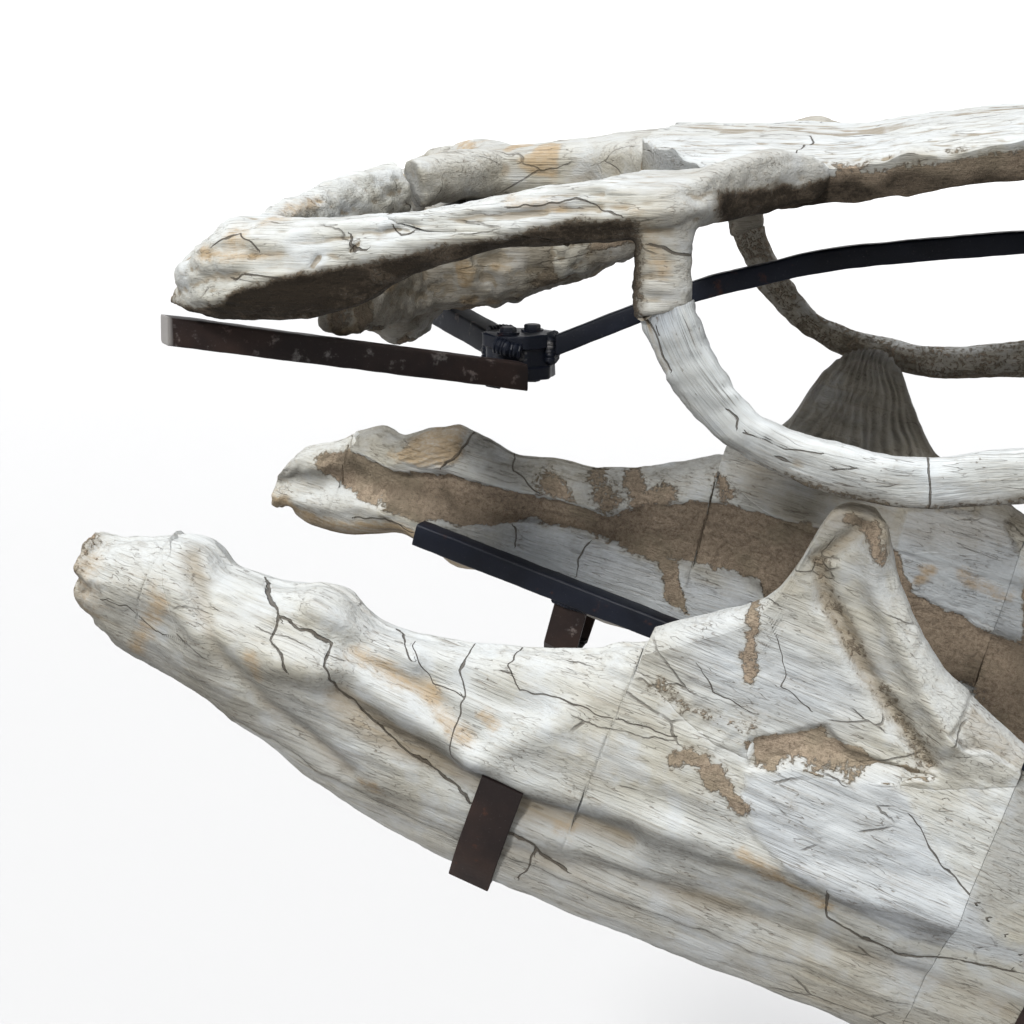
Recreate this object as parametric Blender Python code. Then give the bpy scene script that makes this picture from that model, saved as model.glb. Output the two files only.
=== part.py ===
"""Fossil mosasaur skull with open jaws on a welded steel mount, life size.

Metres, +Z up. The snout points along +X and the animal's right side faces -Y.
The origin is the centre of the base plate's underside. Places along the skull
and the jaws are measured forward from the rear tip of the right lower jaw.
"""

import bmesh
import bpy
import numpy as np

# Driving dimensions, in metres
SKULL_REAR_X = -0.70  # the rear tip of the right lower jaw, from the base plate's centre
SKULL_LEVEL = 1.10  # height of the underside of the temporal bars
SKULL_ROLL = np.radians(1.8)  # the skull leans over to its right
SUTURE_GAP = 0.0003  # between pieces that touch
BONE_EDGE = 0.0022  # half the thickness that a jaw bone keeps at its edges
JAW_LENGTH = 1.42
JAW_JOINT = 0.640  # where the rear half of a lower jaw meets the dentary and splenial
CORONOID_REAR = 0.385
LOWER_TEETH = 14
LOWER_TEETH_SPAN = (0.72, 1.375)
UPPER_TEETH = 12
UPPER_TEETH_SPAN = (0.70, 1.275)
SNOUT_TEETH = (1.335, 1.388)
CROWN_LENGTH = 0.052
CROWN_RADIUS = 0.0150
CROWN_HOOK = 0.014  # how far a full crown's tip leans back
SNOUT_CROWN = (0.040, 0.0115, 0.010)  # length, radius and hook of the crowns on the snout
VAULT_WALL = 0.020  # the roof and the snout's sides
BAR_SIZE = 0.020  # square steel bar
CLIP_WIDTH = 0.030
CLIP_THICKNESS = 0.004
POST_SIZE = 0.040
POST_X = 0.790
FLANGE_SIZE = 0.120
FLANGE_THICKNESS = 0.010
BASE_SIZE = (0.90, 0.50, 0.012)

RIGHT = -1
LEFT = 1
SIDE_NAMES = {RIGHT: "right", LEFT: "left"}

# Each lower jaw hangs at its own pitch, from its own rear top corner
JAW_PITCH = {RIGHT: np.radians(20.0), LEFT: np.radians(14.5)}
JAW_REAR = {RIGHT: (0.0, 0.932), LEFT: (-0.0075, 0.943)}
JAW_TIP_BEND = {RIGHT: 0.055, LEFT: -0.055}


def smooth(*stations):
    """A curve through (place, value) stations that never overshoots them."""
    places = np.array([s[0] for s in stations], float)
    values = np.array([s[1] for s in stations], float)
    steps = np.diff(places)
    rises = np.diff(values) / steps
    slopes = np.concatenate([rises[:1], np.zeros(len(rises) - 1), rises[-1:]])
    same = rises[:-1] * rises[1:] > 0
    slopes[1:-1][same] = 2 * rises[:-1][same] * rises[1:][same] / (rises[:-1] + rises[1:])[same]

    def at(place):
        x = np.clip(place, places[0], places[-1])
        i = np.clip(np.searchsorted(places, x, side="right") - 1, 0, len(steps) - 1)
        t = (x - places[i]) / steps[i]
        rise = values[i + 1] - values[i]
        start = slopes[i] * steps[i]
        end = slopes[i + 1] * steps[i]
        return values[i] + t * (start + t * (3 * rise - 2 * start - end + t * (start + end - 2 * rise)))

    return at


def stations(start, end, step, *extra):
    """Even places from start to end, about step apart, with extra places between them."""
    even = np.linspace(start, end, max(2, int(round((end - start) / step)) + 1))
    inside = [e for e in extra if start < e < end]
    kept = [x for x in even if all(abs(x - e) > step / 4 for e in inside) or x in (start, end)]
    return np.array(sorted(kept + inside))


def material(name, colour, roughness, metallic=0.0):
    made = bpy.data.materials.new(name)
    made.use_nodes = True
    shader = made.node_tree.nodes["Principled BSDF"]
    shader.inputs["Base Color"].default_value = (*colour, 1.0)
    shader.inputs["Roughness"].default_value = roughness
    shader.inputs["Metallic"].default_value = metallic
    return made


def add(name, shape, finish, parent=None):
    """One mesh object from points and faces, under an optional parent."""
    points, faces = shape
    mesh = bpy.data.meshes.new(name)
    mesh.from_pydata([tuple(p) for p in points], [], faces)
    mesh.materials.append(finish)
    mesh.shade_smooth()
    mesh.set_sharp_from_angle(angle=np.radians(38))
    made = bpy.data.objects.new(name, mesh)
    bpy.context.scene.collection.objects.link(made)
    made.parent = parent
    return made


def frame_at(name, location, rotation):
    """An empty that carries pieces modelled in their own frame."""
    empty = bpy.data.objects.new(name, None)
    bpy.context.scene.collection.objects.link(empty)
    empty.location = location
    empty.rotation_euler = rotation
    return empty


def skin(rings):
    """Points and faces of a closed surface through equal rings, capped at both ends.

    Each four-sided patch is cut from its outermost rear corner, so that two bones
    which share a suture are cut alike there.
    """
    rings = np.asarray(rings, float)
    count, around = rings.shape[:2]
    across = np.cross(rings[0] - rings[0].mean(0), np.roll(rings[0], -1, 0) - rings[0].mean(0)).sum(0)
    if across @ (rings[1].mean(0) - rings[0].mean(0)) < 0:
        rings = rings[:, ::-1]
    outward = rings[..., 2] + 0.7 * np.abs(rings[..., 1])
    faces = []
    for i in range(count - 1):
        for j in range(around):
            k = (j + 1) % around
            a, b, c, d = i * around + j, i * around + k, (i + 1) * around + k, (i + 1) * around + j
            first = [(a, b, c), (a, c, d)]
            other = [(a, b, d), (b, c, d)]
            faces.extend(first if outward[i, j] > outward[i, k] else other)
    faces.append(tuple(range(around))[::-1])
    faces.append(tuple((count - 1) * around + j for j in range(around)))
    return rings.reshape(-1, 3), faces


def oval(around, power):
    """Cosines and sines round a ring. A power under 1 makes the ring boxier."""
    angle = 2 * np.pi * (np.arange(around) + 0.5) / around
    cosine = np.cos(angle)
    sine = np.sin(angle)
    return np.sign(cosine) * np.abs(cosine) ** power, np.sign(sine) * np.abs(sine) ** power


def x_rings(xs, inner_y, outer_y, bottom, top, around=12, power=0.7):
    """Rings in planes across X, each between two Y edges and two heights."""
    cosine, sine = oval(around, power)
    rings = []
    for x in xs:
        y = (outer_y(x) + inner_y(x)) / 2 + (outer_y(x) - inner_y(x)) / 2 * cosine
        z = (top(x) + bottom(x)) / 2 + (top(x) - bottom(x)) / 2 * sine
        rings.append(np.stack([np.full(around, x), y, z], -1))
    return np.array(rings)


def path_rings(path, half_wide, half_thick, across, around=10, power=0.8):
    """Rings square to a path. across is the direction of the half_thick side."""
    path = np.asarray(path, float)
    half_wide = np.broadcast_to(half_wide, len(path))[:, None, None]
    half_thick = np.broadcast_to(half_thick, len(path))[:, None, None]
    along = np.gradient(path, axis=0)
    along /= np.linalg.norm(along, axis=1)[:, None]
    side = np.asarray(across, float) - (along @ np.asarray(across, float))[:, None] * along
    side /= np.linalg.norm(side, axis=1)[:, None]
    wide = np.cross(along, side)
    cosine, sine = oval(around, power)
    flat = side[:, None] * (half_thick * cosine[None, :, None])
    return path[:, None] + flat + wide[:, None] * (half_wide * sine[None, :, None])


def curve(points, count):
    """count points along a smooth curve through a few points."""
    points = np.asarray(points, float)
    run = np.concatenate([[0], np.cumsum(np.linalg.norm(np.diff(points, axis=0), axis=1))])
    t = np.linspace(0, run[-1], count)
    return np.stack([smooth(*zip(run, points[:, k]))(t) for k in range(3)], -1)


def largest_surface(mesh):
    """Leaves only the connected surface with the most faces."""
    work = bmesh.new()
    work.from_mesh(mesh)
    left = set(work.verts)
    surfaces = []
    while left:
        reached = {left.pop()}
        edge = list(reached)
        while edge:
            near = {e.other_vert(v) for v in edge for e in v.link_edges} - reached
            reached |= near
            edge = list(near)
        left -= reached
        surfaces.append(reached)
    keep = max(surfaces, key=lambda verts: sum(len(v.link_faces) for v in verts))
    bmesh.ops.delete(work, geom=[v for v in work.verts if v not in keep], context="VERTS")
    work.to_mesh(mesh)
    work.free()
    return mesh


def fuse(body, pieces):
    """Joins closed pieces to the body with one Boolean union and keeps the largest surface."""
    together = bpy.data.collections.new(body.name + "_pieces")
    bpy.context.scene.collection.children.link(together)
    for piece in pieces:
        bpy.context.scene.collection.objects.unlink(piece)
        together.objects.link(piece)
    join = body.modifiers.new("join", "BOOLEAN")
    join.operation = "UNION"
    join.operand_type = "COLLECTION"
    join.collection = together
    join.solver = "EXACT"
    bpy.context.view_layer.update()
    joined = body.evaluated_get(bpy.context.evaluated_depsgraph_get())
    body.data = largest_surface(bpy.data.meshes.new_from_object(joined))
    body.modifiers.clear()
    for piece in pieces:
        bpy.data.objects.remove(piece)
    bpy.data.collections.remove(together)
    return body


# The lower jaw, in its own frame: x runs forward from the rear, z up from the rear top corner

jaw_top = smooth(
    (0.0, 0.0), (0.035, 0.013), (0.079, 0.029), (0.106, 0.017), (0.137, 0.020), (0.178, 0.032),
    (0.2125, 0.019), (0.247, 0.022), (0.333, 0.049), (0.389, 0.071), (0.50, 0.082), (0.592, 0.090),
    (0.642, 0.088), (0.89, 0.064), (1.17, 0.038), (1.30, 0.024), (1.39, 0.004), (JAW_LENGTH, -0.012),
)
jaw_bottom = smooth(
    (0.0, -0.047), (0.035, -0.066), (0.109, -0.0765), (0.142, -0.086), (0.193, -0.100), (0.235, -0.1126),
    (0.352, -0.1245), (0.61, -0.123), (0.75, -0.114), (1.03, -0.086), (1.30, -0.062), (JAW_LENGTH, -0.034),
)
jaw_half_thickness = smooth(
    (0.0, 0.020), (0.06, 0.026), (0.12, 0.034), (0.19, 0.030), (0.30, 0.026), (0.45, 0.026),
    (0.64, 0.028), (0.89, 0.029), (1.17, 0.026), (1.35, 0.019), (JAW_LENGTH, 0.010),
)
jaw_out = smooth(
    (0.0, 0.225), (0.25, 0.206), (0.55, 0.182), (0.85, 0.142), (1.10, 0.100), (1.30, 0.062),
    (JAW_LENGTH, 0.040),
)
coronoid_crest = {
    RIGHT: smooth(
        (CORONOID_REAR, 0.0745), (0.418, 0.101), (0.438, 0.118), (0.450, 0.138), (0.456, 0.165),
        (0.459, 0.190), (0.463, 0.205), (0.473, 0.213), (0.485, 0.215), (0.494, 0.208), (0.505, 0.193),
        (0.524, 0.168), (0.543, 0.146), (0.563, 0.127), (0.592, 0.110), (JAW_JOINT, 0.0945),
    ),
    LEFT: smooth(
        (CORONOID_REAR, 0.0745), (0.415, 0.091), (0.430, 0.116), (0.438, 0.145), (0.446, 0.168),
        (0.456, 0.183), (0.468, 0.192), (0.485, 0.196), (0.500, 0.189), (0.516, 0.171), (0.531, 0.150),
        (0.555, 0.122), (0.592, 0.104), (JAW_JOINT, 0.0945),
    ),
}
coronoid_foot = smooth(
    (CORONOID_REAR, 0.064), (0.43, 0.045), (0.465, 0.036), (0.52, 0.045), (0.589, 0.063),
    (JAW_JOINT, 0.082),
)
left_sag = smooth(
    (0.0, -0.050), (0.012, -0.042), (0.04, -0.036), (0.065, -0.030), (0.10, -0.0145), (0.125, -0.001),
    (0.15, 0.003), (0.18, -0.006), (0.21, 0.002), (0.247, 0.008), (0.29, 0.002), (0.33, 0.002), (0.45, 0.0),
)
left_lift = smooth(
    (0.14, 0.0), (0.20, 0.012), (0.245, 0.018), (0.30, 0.025), (0.40, 0.024), (JAW_JOINT, 0.0),
)
articular_suture = smooth(
    (0.057, 0.019), (0.079, -0.012), (0.106, -0.052), (0.125, -0.070), (0.143, -0.080),
)
lower_strip = smooth(
    (0.125, 0.005), (0.25, 0.022), (0.45, 0.030), (0.64, 0.036), (0.89, 0.034), (1.30, 0.016),
)
CORONOID_PEAK = (0.430, 0.444, 0.452, 0.458, 0.464, 0.474, 0.486, 0.498, 0.515, 0.533)
ARTICULAR_FRONT = 0.143
SURANGULAR_REAR = 0.057
ANGULAR_REAR = 0.160
SPLENIAL_FRONT = 1.30


def tip_bend(x, side):
    """How far the front of a jaw is bent up, growing as the square of the way to its tip."""
    way = np.clip((x - JAW_JOINT) / (JAW_LENGTH - JAW_JOINT), 0, 1)
    return JAW_TIP_BEND[side] * way**2


def jaw_bend(x, z, side):
    """How far a jaw is bent up. The left one also sags at its rear, and its lower edge is lifted."""
    if side == RIGHT:
        return tip_bend(x, side)
    height = np.clip((z - jaw_bottom(x)) / (jaw_top(x) - jaw_bottom(x)), 0, 1)
    return tip_bend(x, side) + left_sag(x) + left_lift(x) * (1 - height)


def jaw_half(x, z, outer):
    """Half thickness of the jaw towards one face at a height, with its long ridge or trough."""
    height = np.clip((z - jaw_bottom(x)) / (jaw_top(x) - jaw_bottom(x)), 0, 1)
    full = jaw_half_thickness(x) * (4 * height * (1 - height)) ** 0.42
    ridge = 0.20 * np.exp(-(((height - 0.62) / 0.16) ** 2))
    trough = -0.55 * np.exp(-(((height - 0.55) / 0.17) ** 2))
    return full * (1 + (ridge if outer else trough)) + BONE_EDGE


def jaw_rings(side, xs, low, high, columns=6, half=jaw_half):
    """Rings of one jaw bone between two heights, closer together near the jaw's edges."""
    rings = []
    for x in xs:
        shares = [(edge(x) - jaw_bottom(x)) / (jaw_top(x) - jaw_bottom(x)) for edge in (low, high)]
        turns = np.linspace(*[np.arccos(1 - 2 * np.clip(s, 0, 1)) for s in shares], columns)
        height = (1 - np.cos(turns)) / 2
        spread = (height - height[0]) / max(height[-1] - height[0], 1e-6)
        z = low(x) + spread * (high(x) - low(x))
        outer = jaw_out(x) + half(x, z, True)
        inner = jaw_out(x) - half(x, z, False)
        y = np.concatenate([outer, inner[::-1]])
        bent = np.concatenate([z, z[::-1]])
        bent = bent + jaw_bend(x, bent, side)
        rings.append(np.stack([np.full(2 * columns, x), y * side, bent], -1))
    rings[0][:, 0] += SUTURE_GAP / 2
    rings[-1][:, 0] -= SUTURE_GAP / 2
    return rings


def coronoid_half(x, z, outer):
    """The coronoid is thick where it sits on the jaw and thins to a blade above it."""
    rise = np.clip((z - coronoid_foot(x)) / 0.13, 0, 1)
    return (0.026 if outer else 0.013) * (1 - rise) + 0.008 * rise


def shifted(edge, by):
    return lambda x: edge(x) + by


def tooth(root, tip, hook, radius, finish, parent):
    """A crown that hooks backward, on a root that is sunk in the jaw."""
    root = np.asarray(root, float)
    along = np.asarray(tip, float) - root
    shares = np.array([-0.32, 0.06, 0.50, 1.0])
    path = root + along * shares[:, None] + np.outer(np.maximum(shares, 0) ** 2, hook)
    widths = radius * np.array([0.95, 1.0, 0.70, 0.08])
    return add("tooth", skin(path_rings(path, widths, widths, (1.0, 0.0, 0.0), 6, 1.0)), finish, parent)


def make_jaw(side, bone, enamel, frame):
    word = SIDE_NAMES[side]
    sutures = (SURANGULAR_REAR, ARTICULAR_FRONT, ANGULAR_REAR, CORONOID_REAR)
    xs = stations(0.0, JAW_JOINT, 0.018, *sutures, *CORONOID_PEAK)
    gap = SUTURE_GAP / 2

    def strip(x):
        return jaw_bottom(x) + lower_strip(x)

    def articular_high(x):
        return jaw_top(x) if x < SURANGULAR_REAR else articular_suture(x) - gap

    def surangular_low(x):
        return articular_suture(x) + gap if x <= ARTICULAR_FRONT else strip(x) + gap

    def surangular_high(x):
        return jaw_top(x) if x < CORONOID_REAR else coronoid_foot(x) - gap

    def between(start, end):
        return xs[(xs >= start) & (xs <= end)]

    def bone_between(name, places, low, high, columns=6, half=jaw_half):
        return add(f"{name}_{word}", skin(jaw_rings(side, places, low, high, columns, half)), bone, frame)

    bone_between("articular", between(0, ARTICULAR_FRONT), jaw_bottom, articular_high)
    bone_between("surangular", between(SURANGULAR_REAR, JAW_JOINT), surangular_low, surangular_high)
    bone_between("angular", between(ANGULAR_REAR, JAW_JOINT), jaw_bottom, shifted(strip, -gap), 4)
    places = between(CORONOID_REAR, JAW_JOINT)
    bone_between("coronoid", places, shifted(coronoid_foot, gap), coronoid_crest[side], 6, coronoid_half)

    front = stations(JAW_JOINT, JAW_LENGTH, 0.06, SPLENIAL_FRONT)
    bone_between("splenial", front[front <= SPLENIAL_FRONT], jaw_bottom, shifted(strip, -gap), 4)

    def dentary_low(x):
        return strip(x) + gap if x <= SPLENIAL_FRONT else jaw_bottom(x)

    dentary = bone_between("dentary", front, dentary_low, jaw_top)
    teeth = []
    for n, x in enumerate(np.linspace(*LOWER_TEETH_SPAN, LOWER_TEETH)):
        top = jaw_top(x) + tip_bend(x, side)
        size = 0.75 + 0.25 * np.sin(np.pi * (n + 1.5) / (LOWER_TEETH + 1))
        root = (x, jaw_out(x) * side, top - 0.004)
        tip = (x + 0.002, jaw_out(x) * side, top + CROWN_LENGTH * size)
        teeth.append(tooth(root, tip, (-CROWN_HOOK * size, 0, 0), CROWN_RADIUS * size, enamel, frame))
    fuse(dentary, teeth)


# The skull, in its own frame: x runs forward, z up from the underside of the temporal bars

ROOF_REAR = 0.360
PREFRONTAL_REAR = 0.630
ORBIT_FRONT = 0.655
PREFRONTAL_DOWN = 0.680
FRONTAL_FRONT = 0.860
NARIS_FRONT = 1.14
MAXILLA_FRONT = 1.30
SNOUT_TIP = 1.43

vault_top = smooth(
    (0.20, 0.085), (0.30, 0.096), (0.41, 0.105), (0.485, 0.104), (0.554, 0.114), (0.62, 0.122),
    (0.75, 0.128), (0.88, 0.122), (1.05, 0.098), (1.20, 0.065), (1.33, 0.025), (1.40, -0.010),
    (SNOUT_TIP, -0.035),
)
vault_foot = smooth(
    (0.33, -0.108), (0.62, -0.108), (0.80, -0.112), (1.0, -0.103), (1.2, -0.090), (SNOUT_TIP, -0.068),
)
vault_width = smooth(
    (0.33, 0.225), (0.62, 0.215), (0.80, 0.180), (1.0, 0.132), (1.2, 0.088), (1.33, 0.058), (1.40, 0.036),
    (SNOUT_TIP, 0.016),
)
vault_power = smooth((0.33, 0.50), (0.62, 0.52), (0.80, 0.62), (1.0, 0.72), (SNOUT_TIP, 0.80))
frontal_width = smooth(
    (ROOF_REAR, 0.085), (0.385, 0.132), (0.42, 0.148), (0.56, 0.146), (0.61, 0.137), (0.66, 0.108),
    (0.76, 0.078), (FRONTAL_FRONT, 0.046),
)
premaxilla_width = smooth(
    (0.86, 0.014), (0.95, 0.016), (1.05, 0.018), (1.14, 0.026), (1.22, 0.034), (1.30, 0.040),
)
prefrontal_foot = smooth((PREFRONTAL_REAR, 0.085), (0.645, 0.045), (ORBIT_FRONT, -0.005))
maxilla_top = smooth(
    (ORBIT_FRONT, -0.070), (0.68, -0.058), (0.72, -0.026), (0.78, 0.040), (0.83, 0.100),
    (FRONTAL_FRONT, 0.1195),
)
naris_width = smooth((FRONTAL_FRONT, 0.11), (0.93, 0.15), (1.0, 0.16), (1.08, 0.12), (NARIS_FRONT, 0.0))
VAULT_TURNS = (0.385, PREFRONTAL_REAR, 0.643, ORBIT_FRONT, PREFRONTAL_DOWN, FRONTAL_FRONT, NARIS_FRONT)
VAULT_PLACES = stations(ROOF_REAR, MAXILLA_FRONT, 0.040, *VAULT_TURNS)


def vault_places(start, end):
    return VAULT_PLACES[(VAULT_PLACES >= start) & (VAULT_PLACES <= end)]


def vault_at_width(x, y):
    """Share of the way from the midline to the tooth row where the vault is y wide."""
    ratio = np.clip(y / vault_width(x), 0, 1) ** (1 / vault_power(x))
    return 1 - np.arccos(ratio) / (np.pi / 2)


def vault_at_height(x, z):
    """The same share where the vault is z high."""
    ratio = np.clip((z - vault_foot(x)) / (vault_top(x) - vault_foot(x)), 0, 1) ** (1 / vault_power(x))
    return 1 - np.arcsin(ratio) / (np.pi / 2)


def vault_point(x, share):
    """The vault of roof and snout: a boxy arch from one tooth row, -1, over the midline, 0, to 1."""
    share = np.asarray(share, float)
    angle = (1 - np.abs(share)) * np.pi / 2
    power = vault_power(x)
    y = np.sign(share) * vault_width(x) * np.cos(angle) ** power
    z = vault_foot(x) + (vault_top(x) - vault_foot(x)) * np.sin(angle) ** power
    return np.stack([np.full_like(y, x), y, z], -1)


def vault_thickness(x, share):
    """The wall, thicker in the middle of the roof and along the tooth rows."""
    snout = np.clip((x - 0.75) / 0.2, 0, 1)
    middle = (0.020 - 0.014 * snout) * np.exp(-((share / (0.42 - 0.17 * snout)) ** 2))
    return VAULT_WALL + middle + 0.012 * np.clip((np.abs(share) - 0.55) / 0.45, 0, 1)


def vault_rings(xs, start, end, columns):
    """Rings of one bone of the vault between two shares, with its thickness measured inward."""
    rings = []
    for x in xs:
        share = np.linspace(start(x), end(x), columns)
        outer = vault_point(x, share)
        tangent = vault_point(x, np.clip(share + 0.01, -1, 1)) - vault_point(x, np.clip(share - 0.01, -1, 1))
        tangent /= np.linalg.norm(tangent, axis=1)[:, None]
        inward = np.stack([np.zeros(columns), tangent[:, 2], -tangent[:, 1]], -1)
        trim = np.zeros((columns, 1))
        trim[0] = SUTURE_GAP / 2
        trim[-1] = -SUTURE_GAP / 2
        outer = outer + trim * tangent
        inner = outer + inward * vault_thickness(x, share)[:, None]
        rings.append(np.concatenate([outer, inner[::-1]]))
    rings[0][:, 0] += SUTURE_GAP / 2
    rings[-1][:, 0] -= SUTURE_GAP / 2
    return rings


def make_frontal(bone, frame):
    def edge(x):
        return vault_at_width(x, frontal_width(x))

    xs = vault_places(ROOF_REAR, FRONTAL_FRONT)
    add("frontal", skin(vault_rings(xs, lambda x: -edge(x), edge, 9)), bone, frame)


def make_premaxilla(bone, enamel, frame):
    """A thin bar between the nostrils that widens into the solid tip of the snout."""

    def edge(x):
        return vault_at_width(x, premaxilla_width(x))

    bar = vault_rings(vault_places(FRONTAL_FRONT, MAXILLA_FRONT), lambda x: -edge(x), edge, 7)
    premaxilla = add("premaxilla", skin(bar), bone, frame)
    tip = []
    for x in stations(MAXILLA_FRONT + SUTURE_GAP, SNOUT_TIP, 0.026):
        outer = vault_point(x, np.linspace(-1, 1, 9))
        palate = outer[[8, 0]] * (1, 0.5, 1) + (0, 0, 0.004)
        tip.append(np.concatenate([outer, palate]))
    pieces = [add("tip", skin(tip), bone, frame)]
    joint = [bar[-1] * (1, 0.6, 1) + (shift, 0, -0.003) for shift in (-0.015, 0.012)]
    pieces.append(add("joint", skin(joint), bone, frame))
    length, radius, hook = SNOUT_CROWN
    for x in SNOUT_TEETH:
        for side in (RIGHT, LEFT):
            y = side * (vault_width(x) - 0.016)
            root, tip = (x, y, vault_foot(x) + 0.004), (x, y, vault_foot(x) - length)
            pieces.append(tooth(root, tip, (-hook, 0, 0), radius, enamel, frame))
    fuse(premaxilla, pieces)


def make_prefrontal(side, bone, frame):
    def start(x):
        return vault_at_width(x, frontal_width(x))

    def end(x):
        foot = prefrontal_foot(x) if x < PREFRONTAL_DOWN else maxilla_top(x)
        return max(vault_at_height(x, foot), start(x) + 0.03)

    xs = vault_places(PREFRONTAL_REAR, FRONTAL_FRONT)
    rings = np.array(vault_rings(xs, start, end, 6)) * (1, side, 1)
    add(f"prefrontal_{SIDE_NAMES[side]}", skin(rings), bone, frame)


def make_maxilla(side, bone, enamel, frame):
    def start(x):
        if x <= FRONTAL_FRONT:
            return vault_at_height(x, maxilla_top(x))
        return vault_at_width(x, premaxilla_width(x)) + naris_width(x)

    xs = vault_places(ORBIT_FRONT, MAXILLA_FRONT)
    rings = np.array(vault_rings(xs, start, lambda x: 1.0, 7)) * (1, side, 1)
    maxilla = add(f"maxilla_{SIDE_NAMES[side]}", skin(rings), bone, frame)
    teeth = []
    for n, x in enumerate(np.linspace(*UPPER_TEETH_SPAN, UPPER_TEETH)):
        size = 0.70 + 0.30 * np.sin(np.pi * (n + 2) / (UPPER_TEETH + 2))
        y = side * (vault_width(x) - 0.017)
        foot = vault_foot(x)
        root = (x, y, foot + 0.006)
        tip = (x + 0.002, y, foot - CROWN_LENGTH * size)
        teeth.append(tooth(root, tip, (-CROWN_HOOK * size, 0, 0), CROWN_RADIUS * size, enamel, frame))
    fuse(maxilla, teeth)


# The temporal bar runs back from the orbit: the postorbitofrontal above, the squamosal below and behind

BAR_REAR = 0.058
BAR_SPLIT = (0.215, 0.335)
ORBIT_REAR = 0.475

bar_top = smooth(
    (BAR_REAR, 0.005), (0.075, 0.034), (0.110, 0.056), (0.156, 0.057), (0.234, 0.065), (0.30, 0.079),
    (0.37, 0.088), (0.41, 0.090), (0.435, 0.099), (0.455, 0.1025), (ORBIT_REAR, 0.099),
)
bar_bottom = smooth(
    (BAR_REAR, -0.003), (0.09, -0.011), (0.154, -0.009), (0.18, -0.004), (0.25, 0.029), (0.31, 0.043),
    (0.38, 0.048), (0.42, 0.055), (ORBIT_REAR, 0.066),
)
bar_outer = smooth(
    (BAR_REAR, 0.200), (0.085, 0.222), (0.13, 0.234), (0.20, 0.228), (0.30, 0.229), (0.40, 0.229),
    (0.42, 0.216), (0.44, 0.193), (0.46, 0.173), (ORBIT_REAR, 0.158),
)
bar_inner = smooth(
    (BAR_REAR, 0.182), (0.085, 0.172), (0.13, 0.166), (0.20, 0.190), (0.30, 0.198), (0.35, 0.190),
    (0.385, 0.134), (0.42, 0.150), (ORBIT_REAR, 0.150),
)
bar_suture = smooth((BAR_SPLIT[0], 0.058), (0.25, 0.054), (0.30, 0.054), (BAR_SPLIT[1], 0.050))
JUGAL_PATH = (
    (0.399, 0.210, 0.072), (0.396, 0.213, 0.017), (0.407, 0.214, -0.018), (0.425, 0.214, -0.044),
    (0.452, 0.214, -0.071), (0.493, 0.212, -0.088), (0.556, 0.208, -0.099), (0.605, 0.203, -0.095),
    (ORBIT_FRONT, 0.198, -0.089),
)
JUGAL_STUB_RINGS = 4
SUPRATEMPORAL_PATH = (
    (0.245, 0.012, 0.073), (0.215, 0.040, 0.072), (0.18, 0.075, 0.064), (0.14, 0.130, 0.047),
    (0.118, 0.185, 0.030),
)
RAMUS_RINGS = 5
WING_PATH = ((0.20, 0.01, 0.006), (0.165, 0.08, 0.0), (0.130, 0.155, -0.004))
RIGHT_WING_PATH = ((0.20, 0.01, 0.0), (0.170, 0.07, -0.012), (0.144, 0.118, -0.016))


def jugal_rings(side):
    slim = {RIGHT: 1.0, LEFT: 0.78}[side]
    share = np.linspace(0, 1, 18)
    wide = smooth((0, 0.017), (0.2, 0.019), (0.45, 0.0155), (0.7, 0.0155), (1, 0.019))
    thick = smooth((0, 0.012), (0.3, 0.011), (1, 0.011))
    path = curve(JUGAL_PATH, len(share))
    rings = path_rings(path, wide(share) * slim, thick(share) * slim, (0, 1, 0)) * (1, side, 1)
    rings[-1, :, 0] = ORBIT_FRONT - SUTURE_GAP / 2
    return rings


def ramus_rings(side):
    path = curve(SUPRATEMPORAL_PATH, 12)
    rings = path_rings(path, np.linspace(0.0165, 0.024, 12), np.linspace(0.016, 0.013, 12), (0.6, 0.8, 0))
    return rings * (1, side, 1)


def pushed(rings, by):
    """The rings with the first one moved along by a small step."""
    rings = np.array(rings)
    step = rings[1].mean(0) - rings[0].mean(0)
    rings[0] += by * step / np.linalg.norm(step)
    return rings


def make_temporal_bar(side, bone, frame):
    word = SIDE_NAMES[side]
    gap = SUTURE_GAP / 2

    def squamosal_top(x):
        return bar_top(x) if x < BAR_SPLIT[0] else bar_suture(x) - gap

    def postorbital_bottom(x):
        return bar_bottom(x) if x > BAR_SPLIT[1] else bar_suture(x) + gap

    def postorbital_inner(x):
        return bar_inner(x) if x < 0.38 else max(frontal_width(x) + SUTURE_GAP, bar_inner(x))

    def mirrored(rings):
        return skin(np.array(rings) * (1, side, 1))

    xs = stations(BAR_REAR, BAR_SPLIT[1], 0.02, BAR_SPLIT[0])
    rings = x_rings(xs, bar_inner, bar_outer, bar_bottom, squamosal_top)
    squamosal = add(f"squamosal_{word}", mirrored(rings), bone, frame)
    xs = stations(BAR_SPLIT[0], ORBIT_REAR, 0.024, BAR_SPLIT[1], 0.41, 0.44, 0.458)
    rings = x_rings(xs, postorbital_inner, bar_outer, postorbital_bottom, bar_top, power=0.55)
    postorbital = add(f"postorbitofrontal_{word}", mirrored(rings), bone, frame)

    jugal = jugal_rings(side)
    fuse(postorbital, [add("stub", skin(jugal[:JUGAL_STUB_RINGS]), bone, frame)])
    add(f"jugal_{word}", skin(pushed(jugal[JUGAL_STUB_RINGS - 1:], SUTURE_GAP)), bone, frame)
    ramus = ramus_rings(side)
    fuse(squamosal, [add("supratemporal", skin(pushed(ramus[RAMUS_RINGS - 1:], SUTURE_GAP)), bone, frame)])
    return ramus[:RAMUS_RINGS]


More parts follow.
